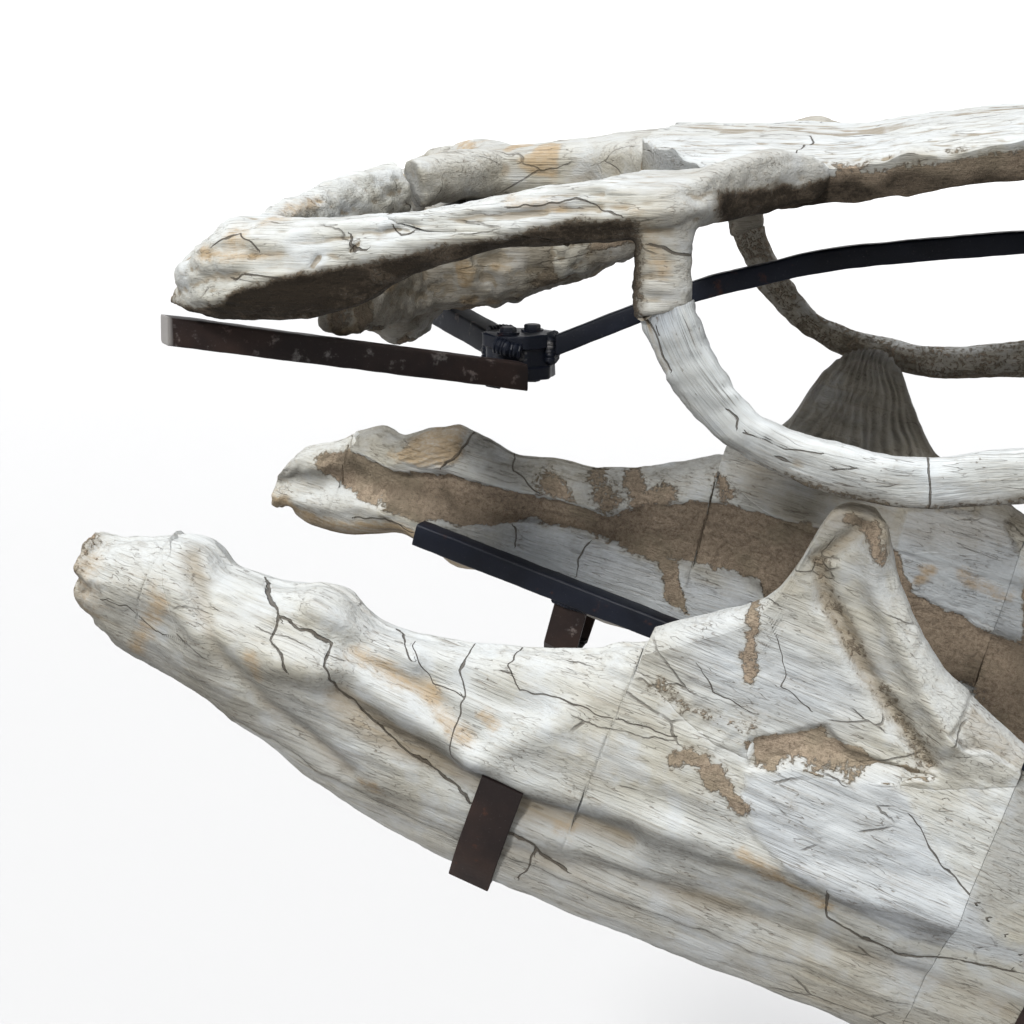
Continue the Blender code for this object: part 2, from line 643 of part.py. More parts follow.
def make_parietal(rami, bone, frame):
    wide = smooth((0.20, 0.034), (0.25, 0.030), (0.30, 0.032), (0.335, 0.052), (ROOF_REAR, 0.080))
    bottom = smooth((0.20, 0.050), (ROOF_REAR, 0.052))
    xs = stations(0.20, ROOF_REAR - SUTURE_GAP, 0.027)
    rings = x_rings(xs, lambda x: -wide(x), wide, bottom, vault_top, power=0.55)
    fuse(add("parietal", skin(rings), bone, frame), [add("ramus", skin(r), bone, frame) for r in rami])


def make_braincase(bone, frame):
    top = smooth((0.118, -0.012), (0.15, 0.020), (0.20, 0.0497), (ROOF_REAR, 0.0515))
    bottom = smooth(
        (0.118, -0.034), (0.165, -0.060), (0.19, -0.036), (0.25, -0.026), (0.31, -0.003),
        (ROOF_REAR, 0.018),
    )
    wide = smooth((0.118, 0.014), (0.14, 0.030), (0.20, 0.048), (0.28, 0.034), (ROOF_REAR, 0.018))
    rings = x_rings(stations(0.118, ROOF_REAR, 0.022), lambda x: -wide(x), wide, bottom, top, power=0.75)
    braincase = add("braincase", skin(rings), bone, frame)
    wings = []
    for side in (RIGHT, LEFT):
        path = curve(RIGHT_WING_PATH if side == RIGHT else WING_PATH, 6)
        wing = path_rings(path, np.linspace(0.024, 0.019, 6), 0.013, (0.9, 0.4, 0)) * (1, side, 1)
        wings.append(add("wing", skin(wing), bone, frame))
    fuse(braincase, wings)


# The mount: bars in the jaws' own frames, and the rest in a level frame, its x measured like the skull's

JAW_BARS = {
    RIGHT: ((0.208, 0.172, -0.060), (0.900, 0.094, -0.060)),
    LEFT: ((0.147, 0.170, -0.063), (0.900, 0.093, -0.085)),
}
CLIP_PLACES = {RIGHT: (0.332, 0.720), LEFT: (0.298, 0.720)}
CLIP_TOP = -0.041
CLIP_CLEARANCE = 0.0012
HUB_CENTRE = (0.252, 0.0, 1.034)
HUB_RADIUS = 0.026
HUB_HEIGHT = 0.034
ARM_PATHS = {
    RIGHT: ((0.264, -0.037, 1.0235), (0.052, -0.200, 1.073)),
    LEFT: ((0.233, 0.019, 1.038), (0.052, 0.200, 1.080)),
}
STRAP_SIZE = 0.016
STRAP_PATH = (
    (0.2785, 0.0, 1.041), (0.345, 0.0, 1.069), (0.389, 0.0, 1.087), (0.433, 0.0, 1.099),
    (0.476, 0.0, 1.110), (0.532, 0.0, 1.118), (0.617, 0.0, 1.127),
    (POST_X - POST_SIZE / 2 - SUTURE_GAP, 0.0, 1.142),
)
SNOUT_BAR_HEIGHTS = (1.125, 1.068)
SADDLE_SIZE = (0.070, 0.060, 0.008)


def upright_bar(name, path, size, finish, parent):
    """A square bar whose sections all stand upright, square to its way in plan."""
    path = np.asarray(path, float)
    along = np.gradient(path, axis=0) * (1, 1, 0)
    along /= np.linalg.norm(along, axis=1)[:, None]
    side = np.cross((0, 0, 1), along)
    corners = np.array([(1, 1), (-1, 1), (-1, -1), (1, -1)]) * size / 2
    rings = path[:, None] + side[:, None] * corners[None, :, :1] + np.array((0, 0, 1)) * corners[None, :, 1:]
    return add(name, skin(rings), finish, parent)


def block(name, low, high, finish, parent):
    """A box between two corners."""
    corners = [(low[1], low[2]), (high[1], low[2]), (high[1], high[2]), (low[1], high[2])]
    return add(name, skin([[(x, y, z) for y, z in corners] for x in (low[0], high[0])]), finish, parent)


def jaw_bar_at(side, x):
    """The middle of a jaw bar, as width and height, at a place along the jaw."""
    rear, front = JAW_BARS[side]
    share = (x - rear[0]) / (front[0] - rear[0])
    return rear[1] + share * (front[1] - rear[1]), rear[2] + share * (front[2] - rear[2])


def level_from_jaw(side, x, z):
    """A place in a jaw's frame as x and height in the level frame."""
    rear_x, rear_z = JAW_REAR[side]
    sine, cosine = np.sin(JAW_PITCH[side]), np.cos(JAW_PITCH[side])
    return rear_x + x * cosine + z * sine, rear_z - x * sine + z * cosine


def make_jaw_bar(side, steel, frame):
    rear, front = (np.array(end) * (1, side, 1) for end in JAW_BARS[side])
    upright_bar(f"mount_jaw_bar_{SIDE_NAMES[side]}", [rear, front], BAR_SIZE, steel, frame)


def make_clip(side, number, x, steel, frame):
    """A flat strip round the jaw: down its outer face, under it, and up to the bar on its inner side.

    Its two edges are slid over the jaw's taper, so that it lies flat on the bone.
    """
    clear = CLIP_CLEARANCE + CLIP_THICKNESS / 2
    heights = np.linspace(CLIP_TOP, jaw_bottom(x) + 0.008, 6)
    outer = [(jaw_out(x) + jaw_half(x, z, True) + clear, z) for z in heights]
    bar_y, bar_z = jaw_bar_at(side, x)
    low = jaw_bottom(x) - clear - 0.001
    outline = outer + [(jaw_out(x) + 0.012, low), (bar_y + 0.006, low), (bar_y, low + 0.006)]
    outline += [(bar_y, bar_z - BAR_SIZE / 2 - SUTURE_GAP)]
    path = [(x, y * side, z) for y, z in outline]
    rings = path_rings(path, CLIP_WIDTH / np.sqrt(2), CLIP_THICKNESS / np.sqrt(2), (0, side, 0.01), 4, 1.0)
    places = rings[..., 0]
    rings[..., 1] += side * (jaw_out(places) - jaw_out(x))
    rings[..., 2] += jaw_bottom(places) - jaw_bottom(x) + tip_bend(places, side)
    rings[-1][:, 2] = jaw_bar_at(side, places[-1])[1] - BAR_SIZE / 2 - SUTURE_GAP
    add(f"mount_clip_{SIDE_NAMES[side]}_{number}", skin(rings), steel, frame)


def make_hub_and_arms(steel, frame):
    angles = np.radians(22.5 + 45 * np.arange(8))
    x, y, z = HUB_CENTRE
    corner = HUB_RADIUS / np.cos(np.radians(22.5))
    ring = np.stack([x + corner * np.cos(angles), y + corner * np.sin(angles), np.full(8, z)], -1)
    add("mount_hub", skin([ring - (0, 0, HUB_HEIGHT / 2), ring + (0, 0, HUB_HEIGHT / 2)]), steel, frame)
    for side in (RIGHT, LEFT):
        upright_bar(f"mount_arm_{SIDE_NAMES[side]}", ARM_PATHS[side], BAR_SIZE, steel, frame)
    upright_bar("mount_roof_strap", curve(STRAP_PATH, 16), STRAP_SIZE, steel, frame)


def make_stand(steel, frame):
    length, width, thick = BASE_SIZE
    rear, front = -SKULL_REAR_X - length / 2, -SKULL_REAR_X + length / 2
    block("stand_base", (rear, -width / 2, 0), (front, width / 2, thick), steel, frame)
    half = POST_SIZE / 2
    roof = SKULL_LEVEL + vault_top(POST_X) - vault_thickness(POST_X, 0.0) - 0.004
    saddle = roof - SADDLE_SIZE[2]
    foot = thick + SUTURE_GAP
    reach, top = FLANGE_SIZE / 2, foot + FLANGE_THICKNESS
    block("stand_flange", (POST_X - reach, -reach, foot), (POST_X + reach, reach, top), steel, frame)
    low, high = (POST_X - half, -half, top + SUTURE_GAP), (POST_X + half, half, saddle - SUTURE_GAP)
    block("stand_post", low, high, steel, frame)
    wide, deep = SADDLE_SIZE[0] / 2, SADDLE_SIZE[1] / 2
    block("stand_saddle", (POST_X - wide, -deep, saddle), (POST_X + wide, deep, roof), steel, frame)
    rear, front = SNOUT_BAR_HEIGHTS
    path = [(POST_X + half + SUTURE_GAP, 0, rear), (MAXILLA_FRONT - SUTURE_GAP, 0, front)]
    upright_bar("stand_snout_bar", path, STRAP_SIZE, steel, frame)
    for side in (RIGHT, LEFT):
        (rear_x, rear_y, _), (front_x, front_y, _) = JAW_BARS[side]
        places = np.linspace(rear_x, front_x, 200)
        level = [level_from_jaw(side, x, jaw_bar_at(side, x)[1]) for x in places]
        x = places[np.argmin([abs(place - POST_X) for place, _ in level])]
        height = level_from_jaw(side, x, jaw_bar_at(side, x)[1])[1]
        slope = (rear_y - front_y) / (front_x - rear_x)
        reach = jaw_bar_at(side, x)[0] - BAR_SIZE / 2 - 3 * SUTURE_GAP - slope * BAR_SIZE / 2
        path = [(POST_X, side * (half + SUTURE_GAP), height), (POST_X, side * reach, height)]
        upright_bar(f"stand_jaw_arm_{SIDE_NAMES[side]}", path, BAR_SIZE, steel, frame)


for leftover in list(bpy.data.objects):
    bpy.data.objects.remove(leftover)

bone = material("fossil_bone", (0.74, 0.72, 0.68), 0.72)
enamel = material("tooth_enamel", (0.42, 0.33, 0.22), 0.35)
steel = material("black_steel", (0.045, 0.045, 0.05), 0.48, 0.6)

for side in (RIGHT, LEFT):
    rear_x, rear_z = JAW_REAR[side]
    rear = (SKULL_REAR_X + rear_x, 0.0, rear_z)
    jaw_frame = frame_at(f"{SIDE_NAMES[side]}_jaw", rear, (0.0, JAW_PITCH[side], 0.0))
    make_jaw(side, bone, enamel, jaw_frame)
    make_jaw_bar(side, steel, jaw_frame)
    for number, place in enumerate(CLIP_PLACES[side], 1):
        make_clip(side, number, place, steel, jaw_frame)

skull_frame = frame_at("skull", (SKULL_REAR_X, 0.0, SKULL_LEVEL), (SKULL_ROLL, 0.0, 0.0))
make_frontal(bone, skull_frame)
make_premaxilla(bone, enamel, skull_frame)
rami = []
for side in (RIGHT, LEFT):
    make_prefrontal(side, bone, skull_frame)
    make_maxilla(side, bone, enamel, skull_frame)
    rami.append(make_temporal_bar(side, bone, skull_frame))
make_parietal(rami, bone, skull_frame)
make_braincase(bone, skull_frame)

level_frame = frame_at("mount", (SKULL_REAR_X, 0.0, 0.0), (0.0, 0.0, 0.0))
make_hub_and_arms(steel, level_frame)
make_stand(steel, level_frame)
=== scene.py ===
# %% [markdown]
# # A fossil mosasaur skull on its steel mount
#
# A mosasaur was a sea lizard as long as a bus. Its skull is a light frame of separate bones:
# two lower jaws, a vaulted roof and snout, a bar along each cheek, and a bent bone under each eye.
# The fossil is cream and bluish white, cracked, with brown rock still sitting in its hollows,
# and square steel bars carry it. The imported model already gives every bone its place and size.
# This lesson gives each one its real surface, worked out with numpy, and its finish.

import bpy
import numpy as np
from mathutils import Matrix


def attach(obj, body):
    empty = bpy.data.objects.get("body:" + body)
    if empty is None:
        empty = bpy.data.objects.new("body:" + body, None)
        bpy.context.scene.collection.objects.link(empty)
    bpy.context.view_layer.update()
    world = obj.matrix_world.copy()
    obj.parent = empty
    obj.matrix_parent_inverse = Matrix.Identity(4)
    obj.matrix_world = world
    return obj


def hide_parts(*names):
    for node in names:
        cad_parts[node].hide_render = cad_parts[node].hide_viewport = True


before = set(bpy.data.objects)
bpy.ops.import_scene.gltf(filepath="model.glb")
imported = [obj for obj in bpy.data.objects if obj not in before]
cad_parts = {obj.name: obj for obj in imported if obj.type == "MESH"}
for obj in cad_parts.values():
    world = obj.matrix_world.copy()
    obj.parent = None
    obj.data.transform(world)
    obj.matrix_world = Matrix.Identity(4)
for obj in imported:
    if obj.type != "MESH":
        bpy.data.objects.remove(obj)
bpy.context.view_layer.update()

# %% [markdown]
# ## Curves
#
# Most outlines here are one height or width that changes along the skull. A few measured stations
# say more than a long list, so each outline is a curve that passes through its stations and never
# overshoots between them. These are the same curves that the solids were made from.

# %% Curves through stations
def smooth(*stations):
    """A curve through (place, value) stations. Between two of them it is the cubic whose end slopes
    are the harmonic means of the slopes on both sides, or zero where those turn."""
    places = np.array([s[0] for s in stations], float)
    values = np.array([s[1] for s in stations], float)
    steps = np.diff(places)
    rises = np.diff(values) / steps
    slopes = np.concatenate([rises[:1], np.zeros(len(rises) - 1), rises[-1:]])
    same = rises[:-1] * rises[1:] > 0
    slopes[1:-1][same] = 2 * rises[:-1][same] * rises[1:][same] / (rises[:-1] + rises[1:])[same]

    def at(place):
        x = np.clip(place, places[0], places[-1])
        i = np.clip(np.searchsorted(places, x, side="right") - 1, 0, len(steps) - 1)
        t = (x - places[i]) / steps[i]
        rise = values[i + 1] - values[i]
        start = slopes[i] * steps[i]
        end = slopes[i + 1] * steps[i]
        return values[i] + t * (start + t * (3 * rise - 2 * start - end + t * (start + end - 2 * rise)))

    return at


def curve(points, count):
    """count points along a smooth curve through a few points, by the length between them."""
    points = np.asarray(points, float)
    run = np.concatenate([[0], np.cumsum(np.linalg.norm(np.diff(points, axis=0), axis=1))])
    t = np.linspace(0, run[-1], count)
    return np.stack([smooth(*zip(run, points[:, k]))(t) for k in range(3)], -1)


def step_up(values, low, high):
    """0 below low, 1 above high, and the soft step t * t * (3 - 2 * t) between them."""
    t = np.clip((values - low) / (high - low), 0, 1)
    return t * t * (3 - 2 * t)


print("halfway up a soft step:", step_up(0.5, 0, 1))

# %% [markdown]
# ## Worn lumps
#
# Old bone is never smooth: it swells, pits and splits. Noise gives that. Space is cut into cells,
# each corner gets a fixed random number, and a point takes the blend of its cell's eight corners.
# Because the value depends only on the place, two bones that touch are worn alike along their seam.

# %% Noise that depends only on the place
def corner_value(cell, seed):
    """A fixed random number from -1 to 1 for each cell corner, from products of primes."""
    n = (cell[..., 0] * 73856093) ^ (cell[..., 1] * 19349663) ^ (cell[..., 2] * 83492791)
    n = (n ^ (seed * 668265263)) & 0xFFFFFFFF
    n = ((n ^ (n >> 15)) * 739982445) & 0xFFFFFFFF
    n = ((n ^ (n >> 12)) * 695872825) & 0xFFFFFFFF
    return ((n ^ (n >> 15)) & 0xFFFFFF) / 0x7FFFFF - 1


def lumps(points, size, seed=0, octaves=1):
    """Smooth hills about size metres apart, from about -1 to 1. Each further octave is half as large
    and half as high. size may be three numbers, for hills that are longer one way."""
    points = np.asarray(points, float)
    total = np.zeros(points.shape[:-1])
    for octave in range(octaves):
        spot = points / (np.asarray(size) / 2**octave) + 17.3 * octave
        cell = np.floor(spot).astype(np.int64)
        part = spot - cell
        fade = part**3 * (part * (part * 6 - 15) + 10)
        for corner in np.ndindex(2, 2, 2):
            weight = np.prod(np.where(corner, fade, 1 - fade), axis=-1)
            total += weight * corner_value(cell + corner, seed + octave) / 2**octave
    return total


sample = lumps(np.random.default_rng(1).uniform(0, 1, (2000, 3)), 0.05)
print("noise runs from", round(float(sample.min()), 2), "to", round(float(sample.max()), 2))

# %% [markdown]
# ## Closed surfaces
#
# Every bone is a tube of rings with its ends closed. A ring can be an oval, or two faces of a flat
# bone laid back to back. Keeping points and faces as plain arrays lets one line move them all.

# %% A closed surface as arrays
class Shape:
    """Points, with the four-sided and three-sided faces between them."""

    def __init__(self, points, quads, threes=None):
        self.points = np.asarray(points, float)
        self.quads = np.asarray(quads, int).reshape(-1, 4)
        self.threes = np.asarray([] if threes is None else threes, int).reshape(-1, 3)

    def __add__(self, other):
        shift = len(self.points)
        return Shape(
            np.concatenate([self.points, other.points]),
            np.concatenate([self.quads, other.quads + shift]),
            np.concatenate([self.threes, other.threes + shift]),
        )

    def normals(self):
        """The direction outwards at each point: the sum of its faces' cross products of diagonals."""
        total = np.zeros_like(self.points)
        for faces in (self.quads, self.threes):
            a, b, c, d = (self.points[faces[:, k]] for k in (0, 1, 2, -1))
            facing = np.repeat(np.cross(c - a, d - b), faces.shape[1], axis=0)
            for axis in range(3):
                total[:, axis] += np.bincount(faces.ravel(), facing[:, axis], len(self.points))
        return total / np.maximum(np.linalg.norm(total, axis=1), 1e-12)[:, None]

    def averaged(self, values, times):
        """The values, one row for each point, replaced several times by their neighbours' mean."""
        sides = [self.quads[:, [k, (k + 1) % 4]] for k in range(4)]
        sides += [self.threes[:, [k, (k + 1) % 3]] for k in range(3)]
        pairs = np.concatenate(sides + [side[:, ::-1] for side in sides])
        count = np.maximum(np.bincount(pairs[:, 0], minlength=len(self.points)), 1)
        for _ in range(times):
            gathered = [np.bincount(pairs[:, 0], v[pairs[:, 1]], len(self.points)) for v in values.T]
            values = np.stack(gathered, -1) / count[:, None]
        return values

    def pushed(self, by):
        """The same surface with each point moved outwards by its own amount."""
        return Shape(self.points + self.normals() * np.asarray(by)[:, None], self.quads, self.threes)

    def hollows(self, reach=6):
        """How far each point lies below its surroundings, in millimetres."""
        around = self.averaged(self.points, reach)
        return ((around - self.points) * self.normals()).sum(1) * 1000


def tube(rings, start=0.0, end=0.0, steps=4):
    """The closed surface through equal rings. Each end is rounded off by rings that shrink by the
    cosine of an angle and move out by its sine times a depth. A depth of 0 closes it flat."""
    rings = np.asarray(rings, float)

    def cap(ring, inward, depth):
        centre = ring.mean(0)
        axis = centre - inward.mean(0)
        axis = axis / np.linalg.norm(axis)
        angles = np.linspace(0, np.pi / 2, steps + 1)[1:, None, None]
        return centre + (ring - centre) * np.cos(angles) + axis * depth * np.sin(angles)

    first, last = cap(rings[0], rings[1], start), cap(rings[-1], rings[-2], end)
    poles = first[-1].mean(0), last[-1].mean(0)
    rings = np.concatenate([first[-2::-1], rings, last[:-1]])
    count, around = rings.shape[:2]
    middle = rings.mean(1)
    swing = np.cross(rings[0] - middle[0], np.roll(rings[0], -1, 0) - middle[0]).sum(0)
    if swing @ (middle[1] - poles[0]) < 0:
        rings = rings[:, ::-1]
    here = np.arange(around)
    there = (here + 1) % around
    rows = np.arange(count - 1)[:, None] * around
    quads = np.stack([rows + here, rows + there, rows + there + around, rows + here + around], -1)
    tip, top = count * around, (count - 1) * around
    threes = [np.stack([there, here, np.full(around, tip)], -1)]
    threes.append(np.stack([here + top, there + top, np.full(around, tip + 1)], -1))
    return Shape(np.concatenate([rings.reshape(-1, 3), poles]), quads.reshape(-1, 4), np.concatenate(threes))


def remeshed(shape, cell):
    """One skin over several closed surfaces that run into each other, from cubes of one size."""
    work = mesh_object("work", shape)
    melt = work.modifiers.new("melt", "REMESH")
    melt.mode = "VOXEL"
    melt.voxel_size = cell
    melt.use_smooth_shade = True
    melted = work.evaluated_get(bpy.context.evaluated_depsgraph_get()).to_mesh()
    points = np.zeros(len(melted.vertices) * 3)
    melted.vertices.foreach_get("co", points)
    corners = np.zeros(len(melted.loops), int)
    melted.loops.foreach_get("vertex_index", corners)
    bpy.data.objects.remove(work)
    made = Shape(points.reshape(-1, 3), corners.reshape(-1, 4))
    made.points = made.averaged(made.points, 2)
    return made


def mesh_object(name, shape):
    """A Blender object with the shape as its mesh, at the origin."""
    mesh = bpy.data.meshes.new(name)
    sizes = np.concatenate([np.full(len(shape.quads), 4), np.full(len(shape.threes), 3)])
    corners = np.concatenate([shape.quads.ravel(), shape.threes.ravel()])
    mesh.vertices.add(len(shape.points))
    mesh.vertices.foreach_set("co", shape.points.astype(np.float32).ravel())
    mesh.loops.add(len(corners))
    mesh.loops.foreach_set("vertex_index", corners.astype(np.int32))
    mesh.polygons.add(len(sizes))
    mesh.polygons.foreach_set("loop_start", (np.cumsum(sizes) - sizes).astype(np.int32))
    mesh.update(calc_edges=True)
    made = bpy.data.objects.new(name, mesh)
    bpy.context.scene.collection.objects.link(made)
    return made


ring = np.array([[0, np.cos(a), np.sin(a)] for a in np.linspace(0, 2 * np.pi, 24, endpoint=False)]) * 0.01
test = tube([ring, ring + (0.05, 0, 0)], 0.01, 0.01)
inside = (test.points[test.quads].mean(1) * test.normals()[test.quads[:, 0]]).sum()
print("a test tube has", len(test.points), "points and faces outwards:", inside > 0)

# %% [markdown]
# ## Camera, light and floor
#
# The photograph is taken from the animal's right, a little above the jaws, and turned towards its
# rear. One soft sun from above gives the bones their bright tops and dark undersides, and a lower
# one from the front lights their faces and lays a faint shadow on the floor behind. A third, weak
# and very soft, reaches the far jaw under the roof. Suns are used and not area lamps, because
# their light doesn't fall off, so the floor stays evenly white.

# %% Camera, lamps and sky
CAMERA_PLACE = (-0.109, -1.392, 1.252)
CAMERA_DOWN = 13.4  # degrees below level
CAMERA_TURN = 13.9  # degrees from straight ahead, towards the skull's rear
CAMERA_LENS = 66.8  # millimetres, on a 36 mm sensor

camera_data = bpy.data.cameras.new("camera")
camera_data.lens = CAMERA_LENS
camera_data.sensor_width = 36
camera_data.clip_start = 0.02
camera = bpy.data.objects.new("camera", camera_data)
camera.location = CAMERA_PLACE
camera.rotation_euler = np.radians([90 - CAMERA_DOWN, 0, CAMERA_TURN])
bpy.context.scene.collection.objects.link(camera)
bpy.context.scene.camera = camera


def sun(name, height, bearing, strength, softness, colour=(1, 1, 1)):
    """A sun at a height above the horizon and a bearing from straight ahead, in degrees."""
    data = bpy.data.lights.new(name, "SUN")
    data.energy = strength
    data.angle = np.radians(softness)
    data.color = colour
    made = bpy.data.objects.new(name, data)
    made.rotation_euler = np.radians([90 - height, 0, bearing])
    bpy.context.scene.collection.objects.link(made)


sun("front_sun", 36, -10, 3.0, 8, (1.0, 0.99, 0.97))
sun("top_sun", 70, -30, 3.0, 20, (0.98, 0.99, 1.0))
sun("fill_sun", 12, 14, 0.9, 40)
world = bpy.data.worlds.new("white_room")
world.use_nodes = True
world.node_tree.nodes["Background"].inputs["Color"].default_value = (1.0, 1.0, 1.0, 1)
world.node_tree.nodes["Background"].inputs["Strength"].default_value = 0.65
bpy.context.scene.world = world
bpy.context.scene.view_settings.view_transform = "Standard"
bpy.context.scene.view_settings.look = "None"
print("camera at", CAMERA_PLACE)

# %% [markdown]
# ## Finishes from sums
#
# A finish is a small network of nodes. Written out one by one, its sums are hard to read, so a
# value here is a socket that can be added, multiplied and compared like a number, and each sum
# adds its own Math node.

# %% A socket that takes part in sums
class Value:
    """One output of a material's node, for sums with other values and plain numbers."""

    def __init__(self, finish, socket):
        self.finish = finish
        self.socket = socket

    def maths(self, operation, first, second=0.0):
        return self.finish.node("Math", {"operation": operation}, {0: first, 1: second})

    def __add__(self, other):
        return self.maths("ADD", self, other)

    def __sub__(self, other):
        return self.maths("SUBTRACT", self, other)

    def __rsub__(self, other):
        return self.maths("SUBTRACT", other, self)

    def __mul__(self, other):
        return self.maths("MULTIPLY", self, other)

    def __truediv__(self, other):
        return self.maths("DIVIDE", self, other)

    __radd__ = __add__
    __rmul__ = __mul__

    def size(self):
        """The value without its sign."""
        return self.maths("ABSOLUTE", self)

    def most(self, other):
        return self.maths("MAXIMUM", self, other)

    def step(self, low, high):
        """0 at low, 1 at high, soft between. low may be the larger one, for a falling step."""
        settings = {"interpolation_type": "SMOOTHSTEP"}
        return self.finish.node("MapRange", settings, {"Value": self, "From Min": low, "From Max": high})


class Finish:
    """A material, and the one method that adds any node to it."""

    def __init__(self, name):
        self.material = bpy.data.materials.new(name)
        self.material.use_nodes = True
        self.tree = self.material.node_tree
        self.shader = self.tree.nodes["Principled BSDF"]
        self.place = self.node("TexCoord", output="Object")

    def node(self, kind, settings=None, sockets=None, output=0):
        """Adds a node, sets its settings, then feeds its sockets with values, numbers or colours."""
        made = self.tree.nodes.new("ShaderNode" + kind)
        for key, value in (settings or {}).items():
            setattr(made, key, value)
        for key, value in (sockets or {}).items():
            self.feed(made.inputs[key], value)
        return Value(self, made.outputs[output])

    def feed(self, socket, value):
        if isinstance(value, Value):
            self.tree.links.new(value.socket, socket)
        elif socket.type == "RGBA":
            socket.default_value = (*value, 1)
        else:
            socket.default_value = value

    def surface(self, **sockets):
        for key, value in sockets.items():
            self.feed(self.shader.inputs[key.replace("_", " ")], value)

    def attribute(self, name, output="Fac"):
        return self.node("Attribute", {"attribute_name": name}, output=output)

    def stretched(self, vector, by):
        """The vector with its three parts each multiplied by a number."""
        return self.node("VectorMath", {"operation": "MULTIPLY"}, {0: vector, 1: by})

    def noise(self, vector, scale=1.0, detail=3.0, roughness=0.55):
        sockets = {"Vector": vector, "Scale": scale, "Detail": detail, "Roughness": roughness}
        return self.node("TexNoise", None, sockets, "Fac")

    def mix(self, share, first, second):
        """The first colour where share is 0, and the second where it is 1."""
        return self.node("Mix", {"data_type": "RGBA"}, {0: share, 6: first, 7: second}, 2)

    def bump(self, height, distance, strength=1.0):
        """A bumped normal, for a height of 0 to 1 that stands for a distance in metres."""
        return self.node("Bump", None, {"Strength": strength, "Distance": distance, "Height": height})


print("a finish has one method for nodes and a class for sums")

# %% [markdown]
# ## The floor
#
# A photographer's sweep: a wide pale floor that turns up into a wall all round, so that no
# horizon shows. It isn't part of the skull, so it is staged. Its wall is a little paler, since
# light from above only grazes it.

# %% A pale floor that turns up into a wall
FLOOR_FLAT = 9.0
SWEEP_RADIUS = 3.0
WALL_TOP = 6.0
FLOOR_PALE, WALL_PALE = (0.418, 0.418, 0.421), (0.80, 0.80, 0.81)


def pale_floor():
    finish = Finish("pale_floor")
    height = finish.node("SeparateXYZ", None, {0: finish.place}, "Z")
    wall = height.step(0.0, SWEEP_RADIUS * 0.6)
    finish.surface(Base_Color=finish.mix(wall, FLOOR_PALE, WALL_PALE), Roughness=0.9)
    return finish.material


def floor_sweep(around=96):
    """A disc whose edge turns up along a quarter circle and goes on as a wall."""
    turn = np.linspace(0, np.pi / 2, 17)
    out = np.concatenate([[1, 3, 6], FLOOR_FLAT + SWEEP_RADIUS * np.sin(turn), [FLOOR_FLAT + SWEEP_RADIUS]])
    high = np.concatenate([[0, 0, 0], SWEEP_RADIUS * (1 - np.cos(turn)), [WALL_TOP]])
    angle = np.arange(around) * 2 * np.pi / around
    x, y = out[:, None] * np.cos(angle), out[:, None] * np.sin(angle)
    rings = np.stack([x, y, np.broadcast_to(high[:, None], x.shape)], -1)
    here, rows = np.arange(around), np.arange(len(out) - 1)[:, None] * around
    there = (here + 1) % around
    quads = np.stack([rows + here, rows + here + around, rows + there + around, rows + there], -1)
    middle = np.stack([here, there, np.full(around, rings.size // 3)], -1)
    return Shape(np.concatenate([rings.reshape(-1, 3), np.zeros((1, 3))]), quads, middle)


floor = mesh_object("floor", floor_sweep())
floor.data.shade_smooth()
floor.data.materials.append(pale_floor())
print("floor", 2 * FLOOR_FLAT, "metres wide, with a wall", WALL_TOP, "high")

# %% [markdown]
# ## Fossil bone
#
# The bone is bluish white where it is polished and cream to tan where it is rough. Fine fibres
# run along each bone, thin cracks cut it into plates, and brown sandy rock fills the hollows.
# Some of that follows each bone's own shape, so every point of the mesh carries a few values:
# its place along the grain, how much rock or stain is on it, how much painted shade darkens it,
# how much painted light brightens it, how sandy its tone is, how deep it lies, and how far it is
# from the nearest drawn crack. The finish mixes them with noise.

# %% The bone finish
WHITE = (0.355, 0.368, 0.356)
BLUISH = (0.338, 0.372, 0.410)
CREAM = (0.328, 0.321, 0.275)
SANDY = (0.205, 0.172, 0.122)
OCHRE = (0.300, 0.208, 0.105)
ROCK = (0.290, 0.232, 0.172)
ROCK_DARK = (0.125, 0.094, 0.067)
# Painted shade: a near-black brown mixed in where a point faces down or lies low, deep or in a furrow.
PAINTED_SHADE_BROWN = (0.018, 0.013, 0.008)
# Painted light: a pale white mixed in where a face points up.
PAINTED_LIGHT_WHITE = (0.520, 0.545, 0.560)
CRACK_DARK = (0.045, 0.036, 0.026)


